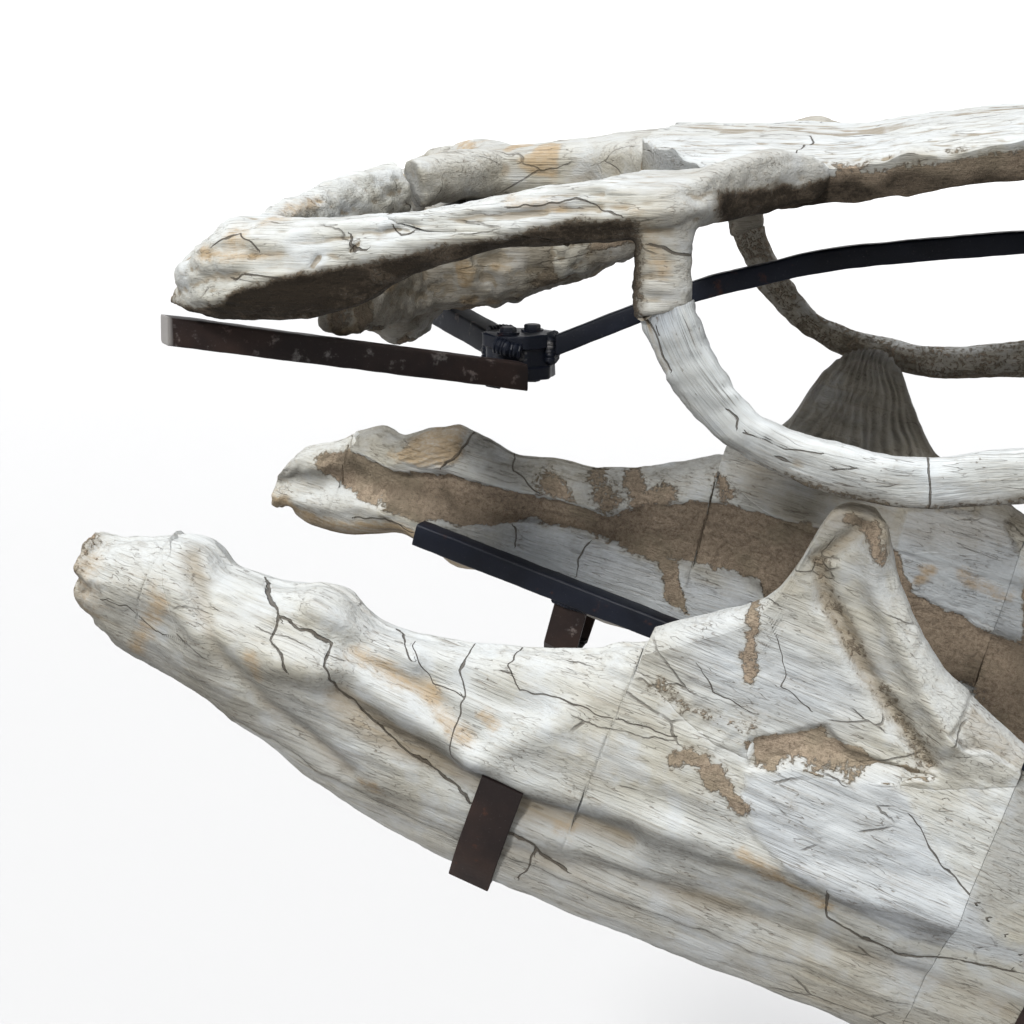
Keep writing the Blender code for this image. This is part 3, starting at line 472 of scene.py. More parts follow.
def fossil_bone():
    f = Finish("fossil_bone")
    grain = f.attribute("grain", "Vector")
    rock, stain, tone = f.attribute("rock"), f.attribute("stain"), f.attribute("tone")
    hollow, pale, shade = f.attribute("hollow"), f.attribute("pale"), f.attribute("shade")
    painted_top_light = f.attribute("painted_top_light")
    broad = f.noise(f.place, 9, 3)
    patch = f.noise(f.place, 34, 4)
    fibre = f.noise(f.stretched(grain, (9, 300, 300)), 1, 4, 0.62)
    thread = f.noise(f.stretched(grain, (18, 1000, 1000)), 1, 2, 0.6)
    speck = f.noise(f.place, 1100, 2)
    crumb = f.noise(f.place, 300, 4, 0.65)
    strand = f.noise(f.stretched(grain, (4, 330, 330)), 1, 1)
    bend = f.node("Mix", {"data_type": "VECTOR"}, {0: 0.006, 4: grain, 5: f.noise(f.place, 60, 3)}, 1)
    cells = {"Vector": f.stretched(bend, (10, 32, 32)), "Scale": 1.0}
    plates = f.node("TexVoronoi", {"feature": "DISTANCE_TO_EDGE"}, cells, "Distance")
    flecks = f.noise(f.stretched(grain, (150, 420, 420)), 1, 2)
    drawn = f.node("SeparateXYZ", None, {0: f.attribute("crack", "Vector")}, "X").size()
    near = f.node("SeparateXYZ", None, {0: f.attribute("crack", "Vector")}, "Y")

    split = (drawn + (crumb - 0.5) * 1.6).step(1.3, 0.6) * near.step(5.0, 3.5)
    hair = plates.step(0.016, 0.004) * (broad + (patch - 0.5) * 0.6).step(0.54, 0.64) * (1 - tone * 0.5)
    strands = (strand - 0.5).size().step(0.012, 0.002) * (patch + (fibre - 0.5) * 0.5).step(0.40, 0.60)
    marks = flecks.step(0.68, 0.74) * patch.step(0.44, 0.60)

    colour = f.mix(broad.step(0.38, 0.66), WHITE, CREAM)
    colour = f.mix((patch.step(0.52, 0.34) * 0.6 * (1 - stain)).most(pale) * 0.75, colour, BLUISH)
    # Painted light: faces that point up are lightened.
    colour = f.mix(painted_top_light * (1 - tone * 0.7), colour, PAINTED_LIGHT_WHITE)
    colour = f.mix(tone * (patch * 0.9 + 0.30), colour, SANDY)
    colour = f.mix(fibre.step(0.44, 0.84) * (0.34 + tone * 0.3) * (1 - pale * 0.4), colour, SANDY)
    colour = f.mix(thread.step(0.50, 0.80) * 0.32, colour, SANDY)
    # Painted shade: the deeper a point lies below its surroundings, the more it turns sandy tan.
    colour = f.mix(hollow.step(0.04, 0.60) * (fibre * 0.9 + 0.35), colour, SANDY)
    colour = f.mix((stain * (fibre + patch + crumb - 0.5)).step(0.30, 1.15) * 0.75, colour, OCHRE)
    colour = f.mix(strands * 0.50, colour, ROCK_DARK)
    colour = f.mix(marks * 0.55, colour, ROCK_DARK)
    colour = f.mix(hair * 0.70, colour, CRACK_DARK)
    loose = rock + (patch - 0.5) * 0.8 + (fibre - 0.5) * 0.4
    colour = f.mix((loose + (crumb - 0.5) * 1.2).step(0.05, 0.70) * 0.55, colour, SANDY)
    rock_edge = (loose + (crumb - 0.5) * 1.6).step(0.38, 0.66)
    sand = f.mix((speck * 0.5 + crumb * 0.8).step(0.40, 0.85), ROCK_DARK, ROCK)
    sand = f.mix((broad + (patch - 0.5) * 0.8).step(0.42, 0.66) * 0.65, sand, SANDY)
    sand = f.mix((crumb * 0.6 + speck * 0.5).step(0.70, 0.76) * 0.6, sand, CREAM)
    colour = f.mix(rock_edge, colour, sand)
    # Painted shade: what faces down or lies low, deep or in a furrow is darkened.
    colour = f.mix(shade * (0.5 + patch + (crumb - 0.5) * 0.8), colour, PAINTED_SHADE_BROWN)
    colour = f.mix(split * 0.85, colour, CRACK_DARK)

    height = fibre * 0.60 + thread * 0.30 + speck * (0.05 + rock_edge * 0.30) + patch * 0.60
    height = height + crumb * (0.10 + rock_edge * 0.9) - strands * 0.35
    height = height - hair * 0.45 - split * 1.1 - marks * 0.25
    f.surface(Base_Color=colour, Roughness=0.58 + rock_edge * 0.32 + stain * 0.10 - pale * 0.10 + fibre * 0.12)
    f.surface(Specular_IOR_Level=0.22, Normal=f.bump(height, 0.0022, 1.0))
    return f.material


bone_finish = fossil_bone()
print("fossil bone has", len(bone_finish.node_tree.nodes), "nodes")

# %% [markdown]
# ## Tooth enamel
#
# The crowns are brown and glossy, darker towards the tip, with fine ridges down their length.

# %% The enamel finish
ENAMEL_PALE = (0.40, 0.27, 0.14)
ENAMEL_DARK = (0.10, 0.055, 0.028)


def tooth_enamel():
    f = Finish("tooth_enamel")
    grain = f.attribute("grain", "Vector")
    along = f.node("SeparateXYZ", None, {0: grain}, "X")
    ridges = f.noise(f.stretched(grain, (6, 900, 900)), 1, 3)
    cloud = f.noise(f.place, 120, 3)
    colour = f.mix((along * 20 + cloud * 0.6).step(0.25, 1.25), ENAMEL_PALE, ENAMEL_DARK)
    colour = f.mix(ridges.step(0.55, 0.75) * 0.5, colour, ENAMEL_DARK)
    f.surface(Base_Color=colour, Roughness=0.22 + cloud * 0.25, Normal=f.bump(ridges, 0.0005, 0.7))
    return f.material


enamel_finish = tooth_enamel()
print("enamel has", len(enamel_finish.node_tree.nodes), "nodes")

# %% [markdown]
# ## Steel
#
# Square bar, blackened and handled for years: blue-black paint with worn grey edges, a few rust
# spots, and one arm that has rusted to a dark brown. Worn edges follow how far a point stands out.

# %% The steel finishes
def steel(name, body, second, rust_share, roughness):
    f = Finish(name)
    hollow, bare = f.attribute("hollow"), f.attribute("bare")
    broad = f.noise(f.place, 16, 4)
    patch = f.noise(f.place, 75, 5, 0.65)
    scratch = f.noise(f.stretched(f.attribute("grain", "Vector"), (20, 700, 700)), 1, 3)
    dust = f.noise(f.place, 700, 2)
    colour = f.mix(broad.step(0.38, 0.66), body, second)
    rust = (patch + (broad - 0.5) * 0.5).step(0.66 - rust_share * 0.3, 0.80 - rust_share * 0.3)
    colour = f.mix(rust * (0.35 + rust_share * 0.5), colour, (0.095, 0.036, 0.018))
    colour = f.mix(dust.step(0.62, 0.82) * 0.12, colour, (0.20, 0.19, 0.18))
    worn = (hollow.step(-0.10, -0.50) * patch.step(0.56, 0.70) * 0.35).most(bare)
    colour = f.mix(worn * 0.75, colour, (0.34, 0.325, 0.31))
    height = patch * 0.5 + scratch * 0.25 + dust * 0.12
    f.surface(Base_Color=colour, Metallic=worn * 0.6, Specular_IOR_Level=0.16)
    f.surface(Roughness=roughness + rust * 0.25 + patch * 0.12, Normal=f.bump(height, 0.0006, 0.6))
    return f.material


black_steel = steel("black_steel", (0.003, 0.0042, 0.008), (0.007, 0.009, 0.016), 0.05, 0.40)
rusted_steel = steel("rusted_steel", (0.012, 0.008, 0.0075), (0.024, 0.014, 0.011), 0.22, 0.50)
stand_steel = steel("stand_steel", (0.010, 0.010, 0.012), (0.018, 0.018, 0.021), 0.02, 0.42)
print("three steels")

# %% [markdown]
# ## The lower jaws
#
# Each lower jaw is six bones laid along each other. Their outer faces together make one long
# smooth surface, so a bone is a strip of that surface between two lines, backed by the same strip
# of the inner face. Heights are measured in the jaw's own frame, and the whole jaw is then
# pitched down. Seen from the side, a place on a jaw is just (along, up), which is also how the
# cracks and rock patches of the photograph are placed on it.

# %% Sizes and curves of a lower jaw
SKULL_REAR_X = -0.70
SUTURE_GAP = 0.0003
BONE_EDGE = 0.0022
JAW_LENGTH, JAW_JOINT = 1.42, 0.640
SURANGULAR_REAR, ARTICULAR_FRONT, CORONOID_REAR, SPLENIAL_FRONT = 0.057, 0.143, 0.385, 1.30
RIGHT, LEFT = -1, 1
SIDE_NAMES = {RIGHT: "right", LEFT: "left"}
JAW_PITCH = {RIGHT: np.radians(20.0), LEFT: np.radians(14.5)}
JAW_REAR = {RIGHT: (0.0, 0.932), LEFT: (-0.0075, 0.943)}
JAW_TIP_BEND = {RIGHT: 0.055, LEFT: -0.055}

jaw_top = smooth(
    (0.0, 0.0), (0.035, 0.013), (0.079, 0.029), (0.106, 0.017), (0.137, 0.020), (0.178, 0.032),
    (0.2125, 0.019), (0.247, 0.022), (0.333, 0.050), (0.357, 0.060), (0.372, 0.070), (0.389, 0.077), (0.50, 0.082), (0.592, 0.090),
    (0.642, 0.088), (0.89, 0.064), (1.17, 0.038), (1.30, 0.024), (1.39, 0.004), (JAW_LENGTH, -0.012),
)
jaw_bottom = smooth(
    (0.0, -0.047), (0.035, -0.066), (0.109, -0.0765), (0.142, -0.086), (0.193, -0.100), (0.235, -0.1126),
    (0.352, -0.1245), (0.61, -0.123), (0.75, -0.114), (1.03, -0.086), (1.30, -0.062), (JAW_LENGTH, -0.034),
)
jaw_half_thickness = smooth(
    (0.0, 0.020), (0.06, 0.026), (0.12, 0.034), (0.19, 0.030), (0.30, 0.026), (0.45, 0.026),
    (0.64, 0.028), (0.89, 0.029), (1.17, 0.026), (1.35, 0.019), (JAW_LENGTH, 0.010),
)
jaw_out = smooth(
    (0.0, 0.225), (0.25, 0.206), (0.55, 0.182), (0.85, 0.142), (1.10, 0.100), (1.30, 0.062), (1.42, 0.040),
)
coronoid_crest = {
    RIGHT: smooth(
        (CORONOID_REAR, 0.0745), (0.418, 0.101), (0.438, 0.118), (0.450, 0.138), (0.456, 0.165),
        (0.459, 0.190), (0.463, 0.205), (0.473, 0.213), (0.485, 0.215), (0.494, 0.208), (0.505, 0.193),
        (0.524, 0.168), (0.543, 0.146), (0.563, 0.127), (0.592, 0.110), (JAW_JOINT, 0.0945),
    ),
    LEFT: smooth(
        (CORONOID_REAR, 0.0745), (0.415, 0.091), (0.430, 0.116), (0.438, 0.145), (0.446, 0.168),
        (0.456, 0.183), (0.468, 0.192), (0.485, 0.196), (0.500, 0.189), (0.516, 0.171), (0.531, 0.150),
        (0.555, 0.122), (0.592, 0.104), (JAW_JOINT, 0.0945),
    ),
}
coronoid_foot = smooth(
    (CORONOID_REAR, 0.064), (0.43, 0.045), (0.465, 0.036), (0.52, 0.045), (0.589, 0.063), (JAW_JOINT, 0.082),
)
left_sag = smooth(
    (0.0, -0.050), (0.012, -0.042), (0.04, -0.036), (0.065, -0.030), (0.10, -0.0145), (0.125, -0.001),
    (0.15, 0.003), (0.18, -0.006), (0.21, 0.002), (0.247, 0.008), (0.29, 0.002), (0.33, 0.002), (0.45, 0.0),
)
left_lift = smooth(
    (0.14, 0.0), (0.20, 0.012), (0.245, 0.018), (0.30, 0.025), (0.40, 0.024), (JAW_JOINT, 0.0),
)
articular_suture = smooth((0.057, 0.019), (0.079, -0.012), (0.106, -0.052), (0.125, -0.070), (0.143, -0.080))
lower_strip = smooth((0.125, 0.005), (0.25, 0.022), (0.45, 0.030), (0.64, 0.036), (0.89, 0.034), (1.30, 0.016))


def ruffle(x, seed):
    """A few millimetres of wander, for a seam between two bones."""
    spots = np.stack([x, np.zeros_like(x), np.zeros_like(x)], -1)
    return 0.0018 * lumps(spots, 0.016, seed, 3)


def strip_line(x):
    """The seam above the lowest bones."""
    return jaw_bottom(x) + lower_strip(x) + ruffle(x, 5) * step_up(x, 0.15, 0.18)


def suture_line(x):
    """The seam across the rear of the jaw."""
    return articular_suture(x) + ruffle(x, 6) * step_up(x, 0.057, 0.07) * step_up(x, 0.143, 0.13)


def foot_line(x):
    """The seam under the coronoid."""
    return coronoid_foot(x) + ruffle(x, 7)


def tip_bend(x, side):
    """How far the front of a jaw is bent up, as the square of the way to its tip."""
    return JAW_TIP_BEND[side] * np.clip((x - JAW_JOINT) / (JAW_LENGTH - JAW_JOINT), 0, 1) ** 2


def sagged(x, z):
    """The left jaw's heights: its rear has sagged, and its lower edge is lifted ahead of that."""
    height = np.clip((z - jaw_bottom(x)) / (jaw_top(x) - jaw_bottom(x)), 0, 1)
    return z + left_sag(x) + left_lift(x) * (1 - height)


def jaw_half(x, z, outer):
    """Half thickness towards one face: (4h(1 - h)) ** 0.42 times the jaw's own, for a share h of its
    height, with a ridge on the outer face and a trough on the inner one."""
    height = np.clip((z - jaw_bottom(x)) / (jaw_top(x) - jaw_bottom(x)), 0, 1)
    full = jaw_half_thickness(x) * (4 * height * (1 - height)) ** 0.42
    ridge = 0.20 * np.exp(-(((height - 0.62) / 0.16) ** 2))
    trough = -0.55 * np.exp(-(((height - 0.55) / 0.17) ** 2))
    return full * (1 + (ridge if outer else trough)) + BONE_EDGE


def coronoid_half(x, z, outer):
    """As thick as the jaw at the coronoid's foot, thinning to a blade above it."""
    rise = np.clip((z - coronoid_foot(x)) / 0.13, 0, 1)
    foot = jaw_half(x, np.minimum(z, coronoid_foot(x)), outer)
    return foot * (1 - rise) ** 1.3 + 0.0075 * (1 - (1 - rise) ** 1.3)


print("a jaw is", JAW_LENGTH, "m long and", round(float(jaw_top(0.5) - jaw_bottom(0.5)), 3), "m deep")

# %% [markdown]
# ## Marks drawn on the bones
#
# The cracks, steps, rock pockets and stains are drawn as short lines in (along, up) coordinates.
# A point's distance to the nearest line, and which side of it the point is on, is all that is
# needed: the side makes the distance change sign, so a crack finer than the mesh stays sharp.

# %% Distance to drawn lines
def from_path(u, v, path):
    """The distance to a line of straight stretches, and the same with a sign for the side."""
    nearest = np.full(np.shape(u), 1.0)
    signed = nearest.copy()
    for (u0, v0), (u1, v1) in zip(path, path[1:]):
        du, dv = u1 - u0, v1 - v0
        share = np.clip(((u - u0) * du + (v - v0) * dv) / (du * du + dv * dv), 0, 1)
        away = np.hypot(u - u0 - share * du, v - v0 - share * dv)
        closer = away < nearest
        nearest = np.where(closer, away, nearest)
        signed = np.where(closer, away * np.sign((u - u0) * dv - (v - v0) * du), signed)
    return nearest, signed


def along_path(u, v, path, reach):
    """1 on the line, falling as exp(-(distance / reach) ** 2)."""
    return np.exp(-((from_path(u, v, path)[0] / reach) ** 2))


def inside_outline(u, v, outline, soft=0.003):
    """1 inside a closed outline and 0 outside, with a soft edge. A point is inside where a ray
    from it crosses the outline an odd number of times."""
    closed = list(outline) + [outline[0]]
    odd = np.zeros(np.shape(u), bool)
    for (u0, v0), (u1, v1) in zip(closed, closed[1:]):
        crosses = (v0 > v) != (v1 > v)
        slant = u0 + (v - v0) * (u1 - u0) / (v1 - v0 if v1 != v0 else 1e-9)
        odd ^= crosses & (u < slant)
    edge = from_path(u, v, closed)[0] * np.where(odd, 1, -1)
    return step_up(edge, -soft, soft)


def cracks_at(u, v, points, cracks, wobble=0.0022):
    """Distances to the nearest crack, in half widths of that crack: signed, and without sign."""
    u = u + wobble * lumps(points, 0.011, 31, 2)
    v = v + wobble * lumps(points, 0.011, 37, 2)
    near, signed = np.full(u.shape, 9.0), np.full(u.shape, 9.0)
    for half_width, path in cracks:
        away, offset = (d / half_width for d in from_path(u, v, path))
        closer = away < near
        near, signed = np.where(closer, away, near), np.where(closer, offset, signed)
    return np.clip(signed, -9, 9), near


print("a point 5 mm off a line:", float(from_path(np.array(0.5), np.array(0.005), ((0, 0), (1, 0)))[0]))

# %% [markdown]
# ## From a shape to a piece
#
# A shape is worked out in the frame of its jaw or of the skull, carries its marks as values on
# its points, and is then turned to its place. It rides on the one body that the skull has, and
# stands for the CAD node of the same name.

# %% Places and pieces
def turned_about(axis, angle):
    """The matrix that turns points by an angle about X or Y."""
    cosine, sine = np.cos(angle), np.sin(angle)
    if axis == "X":
        return np.array([(1, 0, 0), (0, cosine, -sine), (0, sine, cosine)])
    return np.array([(cosine, 0, sine), (0, 1, 0), (-sine, 0, cosine)])


SKULL_LEVEL = 1.10
SKULL_ROLL = np.radians(1.8)
FRAMES = {
    f"{SIDE_NAMES[side]}_jaw": (turned_about("Y", JAW_PITCH[side]), (SKULL_REAR_X + JAW_REAR[side][0], 0, JAW_REAR[side][1]))
    for side in (RIGHT, LEFT)
}
FRAMES["skull"] = (turned_about("X", SKULL_ROLL), (SKULL_REAR_X, 0, SKULL_LEVEL))
FRAMES["mount"] = (np.eye(3), (SKULL_REAR_X, 0, 0))


def piece(name, shape, where, finish, slot, nodes=None, sharp=60, **marks):
    """The shape as an object in its place, with its marks, riding on the skull's body."""
    turn, shift = FRAMES[where]
    hollow = shape.hollows()
    made = mesh_object(name, Shape(shape.points @ turn.T + shift, shape.quads, shape.threes))
    made.data.materials.append(finish)
    for mark, values in {"grain": shape.points, "hollow": hollow, **marks}.items():
        values = np.asarray(values, float)
        if values.ndim < 2:
            values = np.broadcast_to(values, len(shape.points))
        kind, part = ("FLOAT_VECTOR", "vector") if values.ndim == 2 else ("FLOAT", "value")
        held = made.data.attributes.new(mark, kind, "POINT")
        held.data.foreach_set(part, values.astype(np.float32).ravel())
    made.data.shade_smooth()
    made.data.set_sharp_from_angle(angle=np.radians(sharp))
    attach(made, "root")
    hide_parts(*([name] if nodes is None else nodes))
    return made


# How strongly faces that point down are darkened, as painted shade.
UNDERSIDE_PAINTED_SHADE = 0.55
# How strongly faces that point up are lightened, as painted light.
TOP_PAINTED_LIGHT = 0.65


def bone(name, shape, where, marks, slot="bone"):
    """A piece with the bone finish. marks(points) gives its rock, stain, tone, pale, crack and
    grain. Whatever faces down is darkened as painted shade, and whatever faces up is lightened as painted light."""
    given = {"rock": 0.0, "stain": 0.0, "tone": 0.0, "pale": 0.0, "shade": 0.0}
    given["crack"] = np.broadcast_to((9.0, 9.0, 0.0), (len(shape.points), 3))
    given.update(marks(shape.points))
    facing_up = shape.averaged(shape.normals(), 2)[:, 2]
    given["shade"] = np.maximum(given["shade"], UNDERSIDE_PAINTED_SHADE * step_up(-facing_up, -0.55, 0.95))
    given["painted_top_light"] = TOP_PAINTED_LIGHT * step_up(facing_up, 0.05, 0.85)
    made = piece(name, shape, where, bone_finish, slot, **given)
    print(f"{name}: {len(made.data.polygons)} faces")
    return made


# %% [markdown]
# ## The right jaw's outer face
#
# This is the face that the photograph shows best. A long ridge runs forward from behind its
# middle with a hollow under it, a crest leans on a groove and a rounded pillar under the
# coronoid, and a big smooth plate of bone has come away from a pit of rock. Each is a line or an
# outline with a height, in metres, and how far it reaches to both sides.

# %% What the photograph shows on the right jaw
LONG_RIDGE = (
    (0.165, -0.017), (0.205, -0.009), (0.285, -0.024), (0.307, -0.034), (0.354, -0.036), (0.452, -0.027),
    (0.555, -0.020), (0.684, -0.004),
)
UNDER_RIDGE = ((0.210, -0.024), (0.250, -0.040), (0.300, -0.048), (0.345, -0.053), (0.420, -0.046))
OCHRE_TROUGH = ((0.205, 0.004), (0.257, -0.003), (0.300, -0.020))
RISING_RIDGE = ((0.307, -0.034), (0.330, -0.010), (0.355, 0.016))
CREST_GROOVE = (
    (0.484, 0.206), (0.466, 0.176), (0.480, 0.155), (0.498, 0.141), (0.521, 0.120), (0.540, 0.107),
    (0.562, 0.093), (0.583, 0.079),
)
PILLAR = ((0.496, 0.200), (0.503, 0.176), (0.524, 0.155), (0.562, 0.119), (0.589, 0.098))
LOW_GROOVE = ((0.330, -0.094), (0.420, -0.078), (0.520, -0.068), (0.620, -0.064), (0.70, -0.060))
REAR_GROOVE = ((0.080, 0.020), (0.098, 0.000), (0.125, -0.030), (0.165, -0.055), (0.230, -0.078))
JOINT_RIM = ((0.170, 0.020), (0.190, 0.017), (0.215, 0.008), (0.245, 0.010))
NEAR_FORMS = (
    (0.0072, 0.012, LONG_RIDGE), (-0.0080, 0.012, UNDER_RIDGE), (-0.0045, 0.009, OCHRE_TROUGH),
    (0.0045, 0.011, RISING_RIDGE), (-0.0060, 0.0065, CREST_GROOVE), (0.0064, 0.0080, PILLAR),
    (0.0048, 0.008, JOINT_RIM), (-0.0040, 0.010, LOW_GROOVE), (-0.0036, 0.007, REAR_GROOVE),
)
BIG_PLATE = (
    (0.476, 0.030), (0.510, 0.046), (0.540, 0.050), (0.566, 0.060), (0.592, 0.046), (0.626, 0.018), (0.70, -0.022),
    (0.617, -0.036), (0.556, -0.026), (0.520, -0.016), (0.497, -0.008), (0.484, 0.010),
)
ROCK_PIT = (
    (0.470, 0.050), (0.477, 0.033), (0.510, 0.047), (0.540, 0.051), (0.566, 0.060), (0.590, 0.072), (0.560, 0.070),
    (0.530, 0.068), (0.512, 0.078), (0.490, 0.062),
)
BROKEN_STEP = ((0.586, 0.102), (0.600, 0.095), (0.615, 0.100), (0.66, 0.088), (0.66, 0.13), (0.60, 0.135))
NEAR_PLATES = ((0.0016, 0.0012, BIG_PLATE), (-0.0028, 0.0022, ROCK_PIT), (-0.0030, 0.0015, BROKEN_STEP))
NEAR_CRACKS = (
    (0.0009, ((0.114, 0.029), (0.129, 0.021), (0.146, 0.011), (0.150, 0.007))),
    (0.00082, ((0.150, 0.007), (0.152, -0.007), (0.164, -0.011), (0.174, -0.020))),
    (0.00075, ((0.150, 0.007), (0.161, 0.009), (0.179, 0.007), (0.191, 0.005), (0.193, -0.008))),
    (0.00068, ((0.193, -0.008), (0.206, -0.022), (0.231, -0.034), (0.274, -0.051), (0.305, -0.060), (0.316, -0.066))),
    (0.00038, ((0.206, 0.030), (0.224, 0.022), (0.244, 0.013))),
    (0.00045, ((0.278, 0.035), (0.277, 0.017), (0.288, 0.002), (0.289, -0.024), (0.293, -0.035), (0.310, -0.041))),
    (0.00038, ((0.309, 0.052), (0.306, 0.032), (0.319, 0.023), (0.346, 0.028), (0.399, 0.031), (0.424, 0.035))),
    (0.0003, ((0.241, 0.020), (0.262, 0.003), (0.288, 0.002))),
    (0.00038, ((0.585, 0.044), (0.626, 0.017), (0.70, -0.022))),
    (0.00075, ((0.556, -0.026), (0.563, -0.043), (0.590, -0.049), (0.617, -0.050), (0.70, -0.029))),
    (0.00113, ((0.345, -0.076), (0.365, -0.080), (0.372, -0.086), (0.389, -0.089))),
    (0.00052, ((0.367, -0.082), (0.364, -0.109))),
    (0.0003, ((0.452, 0.128), (0.470, 0.110), (0.476, 0.090), (0.500, 0.082))),
    (0.0003, ((0.420, 0.085), (0.436, 0.070), (0.470, 0.066))),
    (0.0003, ((0.100, -0.030), (0.075, -0.036), (0.050, -0.025), (0.030, -0.030))),
)
NEAR_ROCK = (
    (1.0, 0.0050, ((0.440, 0.128), (0.447, 0.102), (0.455, 0.087))),
    (1.0, 0.0060, ((0.430, 0.020), (0.446, 0.027), (0.462, 0.014))),
    (1.0, 0.0055, ((0.457, 0.025), (0.470, 0.013), (0.484, 0.009))),
    (0.9, 0.0070, ((0.475, 0.208), (0.490, 0.209), (0.500, 0.196))), (0.42, 0.0090, CREST_GROOVE[1:]),
    (0.45, 0.0060, ((0.400, 0.060), (0.440, 0.052), (0.470, 0.060))),
)
NEAR_STAINS = (
    (0.9, 0.010, ((0.062, -0.053), (0.071, -0.023), (0.070, -0.010))), (0.8, 0.010, ((0.144, -0.026), (0.150, -0.030))),
    (0.8, 0.009, OCHRE_TROUGH), (0.9, 0.007, ((0.306, -0.001), (0.310, -0.004))),
    (0.8, 0.008, ((0.243, -0.082), (0.250, -0.083))), (0.8, 0.010, ((0.378, -0.058), (0.386, -0.058))),
    (0.9, 0.007, ((0.493, -0.022), (0.548, -0.034), (0.562, -0.036))), (0.4, 0.006, CREST_GROOVE[1:]),
    (0.7, 0.020, ((0.01, -0.01), (0.02, -0.04))),
)


RELIEF_TO_HOLLOW = 90.0
RAGGED = 0.0035  # how far the edge of a patch wanders


def drawn(u, v, lines):
    """The strongest of several lines, each with a strength and a reach."""
    return np.max([strength * along_path(u, v, line, reach) for strength, reach, line in lines], axis=0)


def wear(spots):
    """What age does to every bone: broad swells and long low ripples along the grain."""
    ripples = 0.0009 * lumps(spots * (0.25, 1, 1), 0.011, 3, 2) + 0.0005 * lumps(spots * (0.15, 1, 1), 0.0055, 7)
    return 0.0018 * lumps(spots, 0.060, 1, 2) + ripples + 0.0003 * lumps(spots, 0.006, 9)


def near_relief(spots, outer):
    """The right jaw's forms as a height over its plain faces."""
    u, v = spots[..., 0], spots[..., 2]
    rise = wear(spots) + 0.0045 * np.exp(-np.abs(u) / 0.022) * lumps(spots, 0.013, 4, 3)
    if outer:
        rise += sum(height * along_path(u, v, line, reach) for height, reach, line in NEAR_FORMS)
        rise += sum(height * inside_outline(u, v, line, soft) for height, soft, line in NEAR_PLATES)
        near = cracks_at(u, v, spots, [crack for crack in NEAR_CRACKS if crack[0] > 0.0006])[1]
        rise -= 0.0014 * np.exp(-((near / 1.2) ** 2))
        rise += 0.0010 * drawn(u, v, ((1.0, 0.018, ((0.422, 0.058), (0.474, 0.040))),)) * lumps(spots, 0.009, 12, 2)
    return rise


def near_marks(points):
    """Rock, stains, tone, pale plates and cracks of the right jaw. Its inner face is mostly rock."""
    u, v = points[:, 0], points[:, 2]
    outer = step_up(-points[:, 1] - jaw_out(u), -0.004, 0.004)
    signed, near = cracks_at(u, v, points, NEAR_CRACKS)
    height = (v - jaw_bottom(u)) / (jaw_top(u) - jaw_bottom(u))
    # The depth under the drawn forms, which the finish turns sandy tan as painted shade.
    deep = -RELIEF_TO_HOLLOW * near_relief(points, True)
    u = u + RAGGED * lumps(points, 0.012, 33, 3)
    v = v + RAGGED * lumps(points, 0.012, 34, 3)
    end = np.exp(-np.abs(u) / 0.012)
    inner_rock = step_up(np.abs(height - 0.5), 0.42, 0.26) * step_up(u, 0.03, 0.06) * step_up(u, 1.36, 1.28)
    rock = np.maximum(drawn(u, v, NEAR_ROCK), inside_outline(u, v, ROCK_PIT, 0.003) * 1.1)
    pale = inside_outline(u, v, BIG_PLATE, 0.004) * 0.9
    pale += 0.8 * along_path(u, v, ((0.430, 0.090), (0.470, 0.090), (0.510, 0.100)), 0.030) * (1 - rock)
    return {
        "rock": np.where(outer > 0.5, np.maximum(rock, 0.75 * end), inner_rock),
        "stain": np.maximum(drawn(u, v, NEAR_STAINS), 0.25 * step_up(u, 0.30, 0.05)),
        # The tone's last term turns the lower part of the outer face sandier, and the shade below darkens it downwards:
        # both are painted shade.
        "tone": np.clip(0.16 + 0.5 * end + 0.9 * step_up(v, 0.190, 0.212) + 0.20 * step_up(height, 0.40, 0.05), 0, 1),
        "shade": 0.22 * step_up(height, 0.60, 0.05) * outer,
        "pale": np.clip(pale, 0, 1) * outer,
        "hollow": np.where(outer > 0.5, deep, 0.0),
        "crack": np.stack([signed, np.where(outer > 0.5, near, 9.0), np.zeros_like(u)], -1),
    }


print(len(NEAR_CRACKS), "cracks are drawn on the right jaw")

# %% [markdown]
# ## The left jaw's inner face
#
# Between the bars of the mount we look at the inside of the left jaw. A long tongue of brown
# sandstone fills its trough. Above it a fan of fine striations is stained orange, and below it
# lie smooth grey plates with a gap between them. Its coronoid is furrowed from top to bottom.

# %% What the photograph shows on the left jaw
SANDSTONE = (
    (0.030, -0.038), (0.040, -0.028), (0.069, -0.019), (0.106, -0.024), (0.155, -0.011), (0.212, -0.007), (0.278, 0.000),
    (0.303, -0.002), (0.330, 0.018), (0.359, 0.030), (0.395, 0.043), (0.52, 0.052), (0.66, 0.058), (0.66, -0.034),
    (0.474, -0.031), (0.438, -0.014), (0.400, -0.016), (0.368, -0.020), (0.360, -0.027), (0.327, -0.026), (0.291, -0.022),
    (0.250, -0.026), (0.219, -0.034), (0.194, -0.047), (0.137, -0.057), (0.080, -0.060), (0.045, -0.052),
)
PLATE_GAP = ((0.356, -0.026), (0.371, -0.021), (0.394, -0.058), (0.380, -0.058))
STAINED_FAN = ((0.100, -0.008), (0.128, 0.022), (0.156, 0.034), (0.166, 0.010), (0.150, -0.006), (0.128, -0.010))
FRONT_PLATE = (
    (0.542, 0.089), (0.616, 0.106), (0.641, 0.080), (0.664, 0.014), (0.639, 0.008), (0.611, 0.016), (0.572, 0.019),
    (0.547, 0.046),
)
RUSTY_SPOTS = ((1.0, 0.007, ((0.569, 0.034), (0.575, 0.044))), (0.8, 0.009, ((0.600, 0.050), (0.640, 0.046))))
